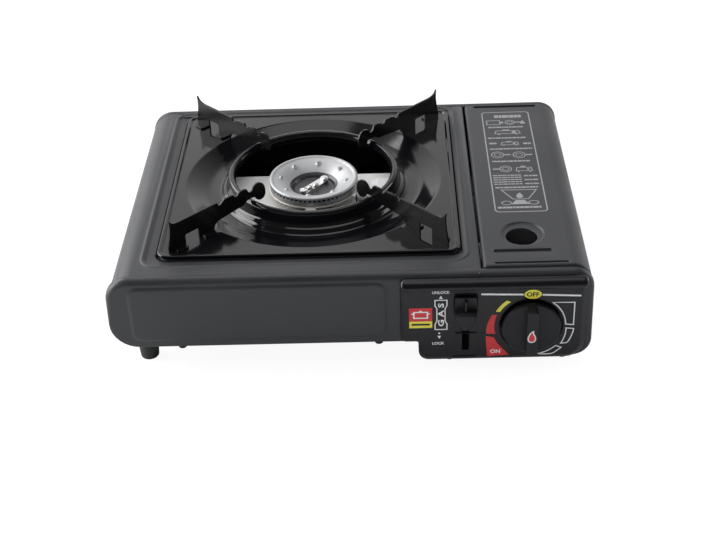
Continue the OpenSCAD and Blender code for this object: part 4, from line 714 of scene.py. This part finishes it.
def bars(x0, x1, y, high=2.0):
    """A row of small blocks as long as short words."""
    parts, x, lengths = [], x0, (3.4, 2.2, 4.2, 1.6, 3.0, 2.6)
    for i in range(40):
        if x > x1 - 0.8:
            break
        end = min(x + lengths[i % 6], x1)
        parts.append(block(x, y - high / 2, end, y + high / 2))
        x = end + 0.4
    return parts


def printed(name, shapes, level, material, body, plane="xz"):
    """One print: flat shapes laid on a plane, each face turned anticlockwise so that it looks outwards."""
    points, faces, start = [], [], 0
    for p, f in shapes:
        p = np.asarray(p, float)
        for face in f:
            x, y = p[face, 0], p[face, 1]
            ahead_of = np.sum(x * np.roll(y, -1) - np.roll(x, -1) * y) > 0
            faces.append([start + v for v in (face if ahead_of else face[::-1])])
        points.append(p)
        start += len(p)
    mesh = bpy.data.meshes.new(name)
    mesh.from_pydata((lift(np.concatenate(points), level, plane) * MM).tolist(), [], faces)
    mesh.materials.append(material)
    piece = bpy.data.objects.new(name, mesh)
    bpy.context.scene.collection.objects.link(piece)
    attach(piece, body)


def about_knob(radii, degrees):
    """Points about the knob's axis, at one radius or a radius for each of the angles."""
    a = np.radians(degrees)
    return np.stack([knob_spot[0] + np.asarray(radii) * np.cos(a), knob_spot[1] + np.asarray(radii) * np.sin(a)], -1)


ink_white = finish("ink_white", (0.80, 0.80, 0.80), 0.06, 300, (0.4, 0.5), 900, 0.0)
ink_red = finish("ink_red", (0.62, 0.022, 0.026), 0.05, 300, (0.3, 0.4), 900, 0.0)
ink_yellow = finish("ink_yellow", (0.80, 0.74, 0.06), 0.05, 300, (0.3, 0.4), 900, 0.0)
ink_grey = finish("ink_grey", (0.30, 0.30, 0.30), 0.12, 400, (0.45, 0.55), 900, 0.0)

sweep = np.linspace(0, 1, 13)
yellow_arc = np.concatenate([about_knob(25, 151 - 26 * sweep), about_knob(27.7, 128.6 + 24.4 * sweep)])
red_arc = np.concatenate([about_knob(25.6, 157.6 + 37.4 * sweep), about_knob(31.8 - 2.9 * sweep, 191 - 31 * sweep)])
red_wedge = np.concatenate([[(95.0, 29.6)], about_knob(27.4, 200 + 15 * sweep), [(111.7, 12.9), (96.3, 12.1)]])
low_wedge_a = np.concatenate([[(156, 57), (156, 37.9)], about_knob(24, 1.5 + 51.5 * sweep)])
low_wedge_b = np.concatenate([about_knob(24.6 + 2 * sweep, -6.5 - 30.5 * sweep), about_knob(30, -31 + 24.5 * sweep)])
low_wedge_c = np.concatenate([about_knob(25.2, -78 + 33 * sweep),
        about_knob([29.3, 29.3, 28.6, 27.3, 26.2], [-42, -55, -61, -67, -73])])
plaque = [(59.6, 61.2), (59.6, 56.5), (60.9, 54.2), (60.9, 43.4), (59.6, 41.0), (59.6, 36.3), (67.9, 36.3),
    (67.9, 41.0), (66.6, 43.4), (66.6, 54.2), (67.9, 56.5), (67.9, 61.2)]
pot = [stroke([(44.9, 46.3), (54.3, 46.3), (54.3, 51.3), (44.9, 51.3)], 1.0), block(48.6, 51.8, 50.6, 52.7),
    block(43.2, 49.4, 44.4, 50.4), block(54.8, 49.4, 56.0, 50.4)]
flame = np.array([(0, -4.7), (1.5, -4.2), (2.5, -2.7), (2.6, -0.9), (2.0, 0.9), (1.2, 2.2), (0.9, 3.4), (1.1, 4.7),
        (-0.4, 3.7), (-1.5, 2.0), (-2.3, 0.2), (-2.6, -1.6), (-2.2, -3.4), (-1.2, -4.5)]) + (126.0, 36.8)
print_y, overprint_y = -124.54, -124.58
printed("panel_white_marks", [
    flat([(91.5, 64.7), (120.6, 63.7), (120.6, 65.1), (91.5, 66.1)]),
    flat([(133.5, 63.2), (160.2, 61.8), (160.2, 63.1), (133.5, 64.6)]),
    stroke(low_wedge_a, 0.8), stroke(low_wedge_b, 0.8), stroke(low_wedge_c, 0.8), stroke(plaque, 0.75),
    letters("G A S", (63.75, 48.8), 19.6, 4.1, upwards=True),
    letters("UNLOCK", (63.8, 67.7), 12.2, 2.3), letters("LOCK", (61.8, 24.3), 8.4, 2.3),
    flat([(63.7, 65.0), (62.4, 62.4), (65.0, 62.4)]), flat([(62.5, 28.2), (63.8, 30.8), (61.2, 30.8)]),
    flat(oval(62.5, 33.0, 0.7, 0.7, 12)),
], print_y, ink_white, "casing")
printed("panel_red_marks", [
    flat(red_arc), flat(red_wedge), block(41.6, 43.5, 57.6, 54.8),
], print_y, ink_red, "casing")
printed("panel_yellow_marks", [
    flat(yellow_arc), flat(oval(127, 64.4, 6, 3.75)), block(41.6, 37.9, 57.6, 43.5),
], print_y, ink_yellow, "casing")
printed("panel_marks_on_colour", [letters("ON", (101.9, 16.3), 7, 3.4), *pot], overprint_y, ink_white, "casing")
printed("panel_dark_marks", [
    letters("OFF", (127, 64.4), 8.6, 3.7), block(43.2, 40.0, 56.0, 41.6),
], overprint_y, gloss_black, "casing")
printed("knob_flame_inside", [flat(flame)], -136.48, ink_red, "control")
printed("knob_flame_outline", [stroke(flame, 0.8)], -136.5, ink_white, "control")


def pan_sign(x, y, r, way):
    """A round pan seen from above, with its handle."""
    handle = block(x + r, y - 0.8, x + r + 5.5, y + 0.8) if way > 0 else block(x - r - 5.5, y - 0.8, x - r, y + 0.8)
    return [stroke(oval(x, y, r, r, 28), 0.8), stroke(oval(x, y, r * 0.55, r * 0.55, 20), 0.6), handle]


def stove_sign(x, y, wide, high):
    """A small stove seen from the front: body, two feet and a burner."""
    return [
        stroke([(x, y + 0.2 * high), (x + wide, y + 0.2 * high), (x + 0.94 * wide, y + 0.75 * high),
            (x + 0.06 * wide, y + 0.75 * high)], 0.8),
        block(x + 0.1 * wide, y, x + 0.2 * wide, y + 0.2 * high),
        block(x + 0.8 * wide, y, x + 0.9 * wide, y + 0.2 * high),
        block(x + 0.3 * wide, y + 0.75 * high, x + 0.6 * wide, y + high),
        flat(oval(x + 0.75 * wide, y + 0.47 * high, 0.09 * wide, 0.09 * wide, 16)),
    ]


funnel_sign = [
    stroke([(113.5, -11.4), (139.6, -11.8), (132.7, -25.0), (121.2, -25.0)], 0.9),
    flat((flame - (126.0, 36.8)) * (1.0, 0.85) + (126.4, -19.6)),
    stroke(oval(116, -30.4, 3.6, 2.6, 20), 0.8), stroke(oval(136, -30.4, 3.6, 2.6, 20), 0.8),
    flat([(119.5, -32.6), (133, -32.6), (129.6, -26.6), (123, -26.6)]),
]
printed("lid_pictograms", [
    stroke(corner_loop(rounded_frame(107, -43, 145, 115, 3.2), 0, 5), 0.95),
    *bars(116.7, 138.6, 107.4, 4.6),
    stroke([(110.0, 93.4), (120.5, 93.4), (120.5, 100.4), (110.0, 100.4)], 0.9), block(120.5, 95.4, 123.4, 98.4),
    *pan_sign(128.6, 97.0, 3.6, 1), flat([(136.6, 94.2), (141.4, 94.2), (139.0, 100.4)]),
    *bars(110.7, 138.7, 88.7),
    *stove_sign(115.3, 76.0, 20.3, 8.6),
    *bars(109.1, 139.1, 70.4),
    *bars(109.8, 115.4, 61.6, 2.6), *stove_sign(119.0, 57.4, 13.8, 7.6), *bars(136.4, 142.4, 60.6, 2.6),
    *bars(109.5, 142.8, 52.3),
    *pan_sign(114.8, 42.8, 4.7, 1), *pan_sign(131.6, 42.2, 4.7, 1),
    *bars(110.0, 139.0, 32.4),
    *pan_sign(119.4, 20.4, 4.4, -1), *stove_sign(127.2, 15.0, 12.4, 9.4),
    *[b for i in range(5) for b in bars(108.8, 130.3, 10.4 - 3.3 * i, 1.5)],
    *[b for i in range(3) for b in bars(132.2, 142.6, 9.2 - 6.0 * i, 1.9)],
    *bars(109.4, 142.6, -7.9),
    *funnel_sign,
    *bars(109.0, 142.2, -36.9, 2.6),
], lid_top + 0.04, ink_grey, "lid", plane="xy")

# ---------------------------------------------------------------- rubber feet
rubber_black = finish("rubber_black", (0.02, 0.02, 0.02), 0.2, 80, (0.6, 0.8), 800, 0.2)
for name, x, y, high in (("foot_front_left", -148.5, -98, 23), ("foot_back_left", -148.5, 114, 23),
        ("foot_front_right", 148.5, -98, 8.9), ("foot_back_right", 148.5, 114, 8.9)):
    foot_line = [(0.02, 0), (5.6, 0), (6.2, 0.25), (6.6, 0.9), (7.5, high / 2), (7.5, high - 0.02),
        (0.02, high - 0.02)]
    make(name + "_moulded", [turned(foot_line, (x, y), 48)], rubber_black, "casing", replaces=(name,))

# ---------------------------------------------------------------- metal inside the casing
# Painted shade: the galvanised parts inside are coloured far darker than bare galvanised steel, for the dim inside of
# the casing.
galvanised_painted_shade = finish("galvanised_painted_shade", (0.16, 0.163, 0.167), 0.14, 90, (0.28, 0.45), 300, 0.1, metal=1.0)
plated = finish("plated", (0.75, 0.75, 0.76), 0.06, 150, (0.2, 0.32), 900, 0.08, metal=1.0)
zinc = finish("zinc", (0.62, 0.63, 0.65), 0.08, 60, (0.4, 0.55), 600, 0.25, metal=1.0)
brass = finish("brass", (0.78, 0.58, 0.27), 0.07, 90, (0.2, 0.34), 900, 0.1, metal=1.0)
ivory = finish("ivory", (0.82, 0.78, 0.66), 0.05, 60, (0.4, 0.5), 700, 0.08)
silicone = finish("silicone", (0.85, 0.85, 0.82), 0.05, 80, (0.4, 0.5), 700, 0.05)
ceramic = finish("ceramic", (0.88, 0.86, 0.82), 0.04, 120, (0.15, 0.25), 500, 0.05)


# Painted shade: parts that run in under the casing's top, past the edge of the tray's opening, go dark towards the
# right.
def shaded_towards_right(name, pale, start, end, metal):
    """Material that goes from a pale grey to near black between two places along X, given in metres."""
    material = finish(name, (pale, pale, pale), 0.06, 60, (0.45, 0.55), 700, 0.1, metal=metal)
    tree = material.node_tree
    place = add_node(tree, "TexCoord")
    axes = add_node(tree, "SeparateXYZ")
    tone = add_node(tree, "MapRange", inputs={"From Min": start, "From Max": end, "To Min": pale, "To Max": 0.03})
    tree.links.new(place.outputs["Object"], axes.inputs[0])
    tree.links.new(axes.outputs["X"], tone.inputs["Value"])
    tree.links.new(tone.outputs[0], tree.nodes["Principled BSDF"].inputs["Base Color"])
    return material


# The heat strip and the mixing tube darken with painted shade where they pass under the casing's top.
strip_painted_shade = shaded_towards_right("strip_painted_shade", 0.84, 0.060, 0.080, 0.0)
tube_aluminium = shaded_towards_right("tube_aluminium", 0.66, 0.060, 0.080, 0.4)
pale_zinc = finish("pale_zinc", (0.90, 0.89, 0.87), 0.05, 90, (0.45, 0.55), 300, 0.1)
black_zinc = finish("black_zinc", (0.03, 0.03, 0.03), 0.10, 90, (0.45, 0.55), 300, 0.1, metal=0.5)
for material, names in (
        (galvanised_painted_shade, ("bottom_plate", "partition", "lid_catch", "regulator_bracket", "electrode_bracket",
            "pusher_keepers", "cartridge_saddle", "pusher_bar")),
        (pale_zinc, ("burner_bridge",)),
        (black_zinc, ("lock_plate", "case_screws", "hinge_brackets")),
        (plated, ("lid_hinge_pins", "burner_screws", "bridge_screws", "regulator_screws", "bracket_screws",
            "spindle_nut", "panel_screws", "partition_screws", "electrode_rod", "burner_clamp")),
        (tube_aluminium, ("mixing_tube",)),
        (strip_painted_shade, ("heat_strip",)),
        (zinc, ("regulator_body", "regulator_cover")),
        (brass, ("nozzle", "valve_spindle")),
        (rubber_black, ("inlet_seal", "lead_grommet")),
        (knob_black, ("igniter_cam", "igniter_plunger", "lock_guide")),
        (ivory, ("igniter_case",)),
        (silicone, ("igniter_lead",)),
        (ceramic, ("electrode_insulator",))):
    for name in names:
        for slot in nodes[name].material_slots:
            slot.material = material
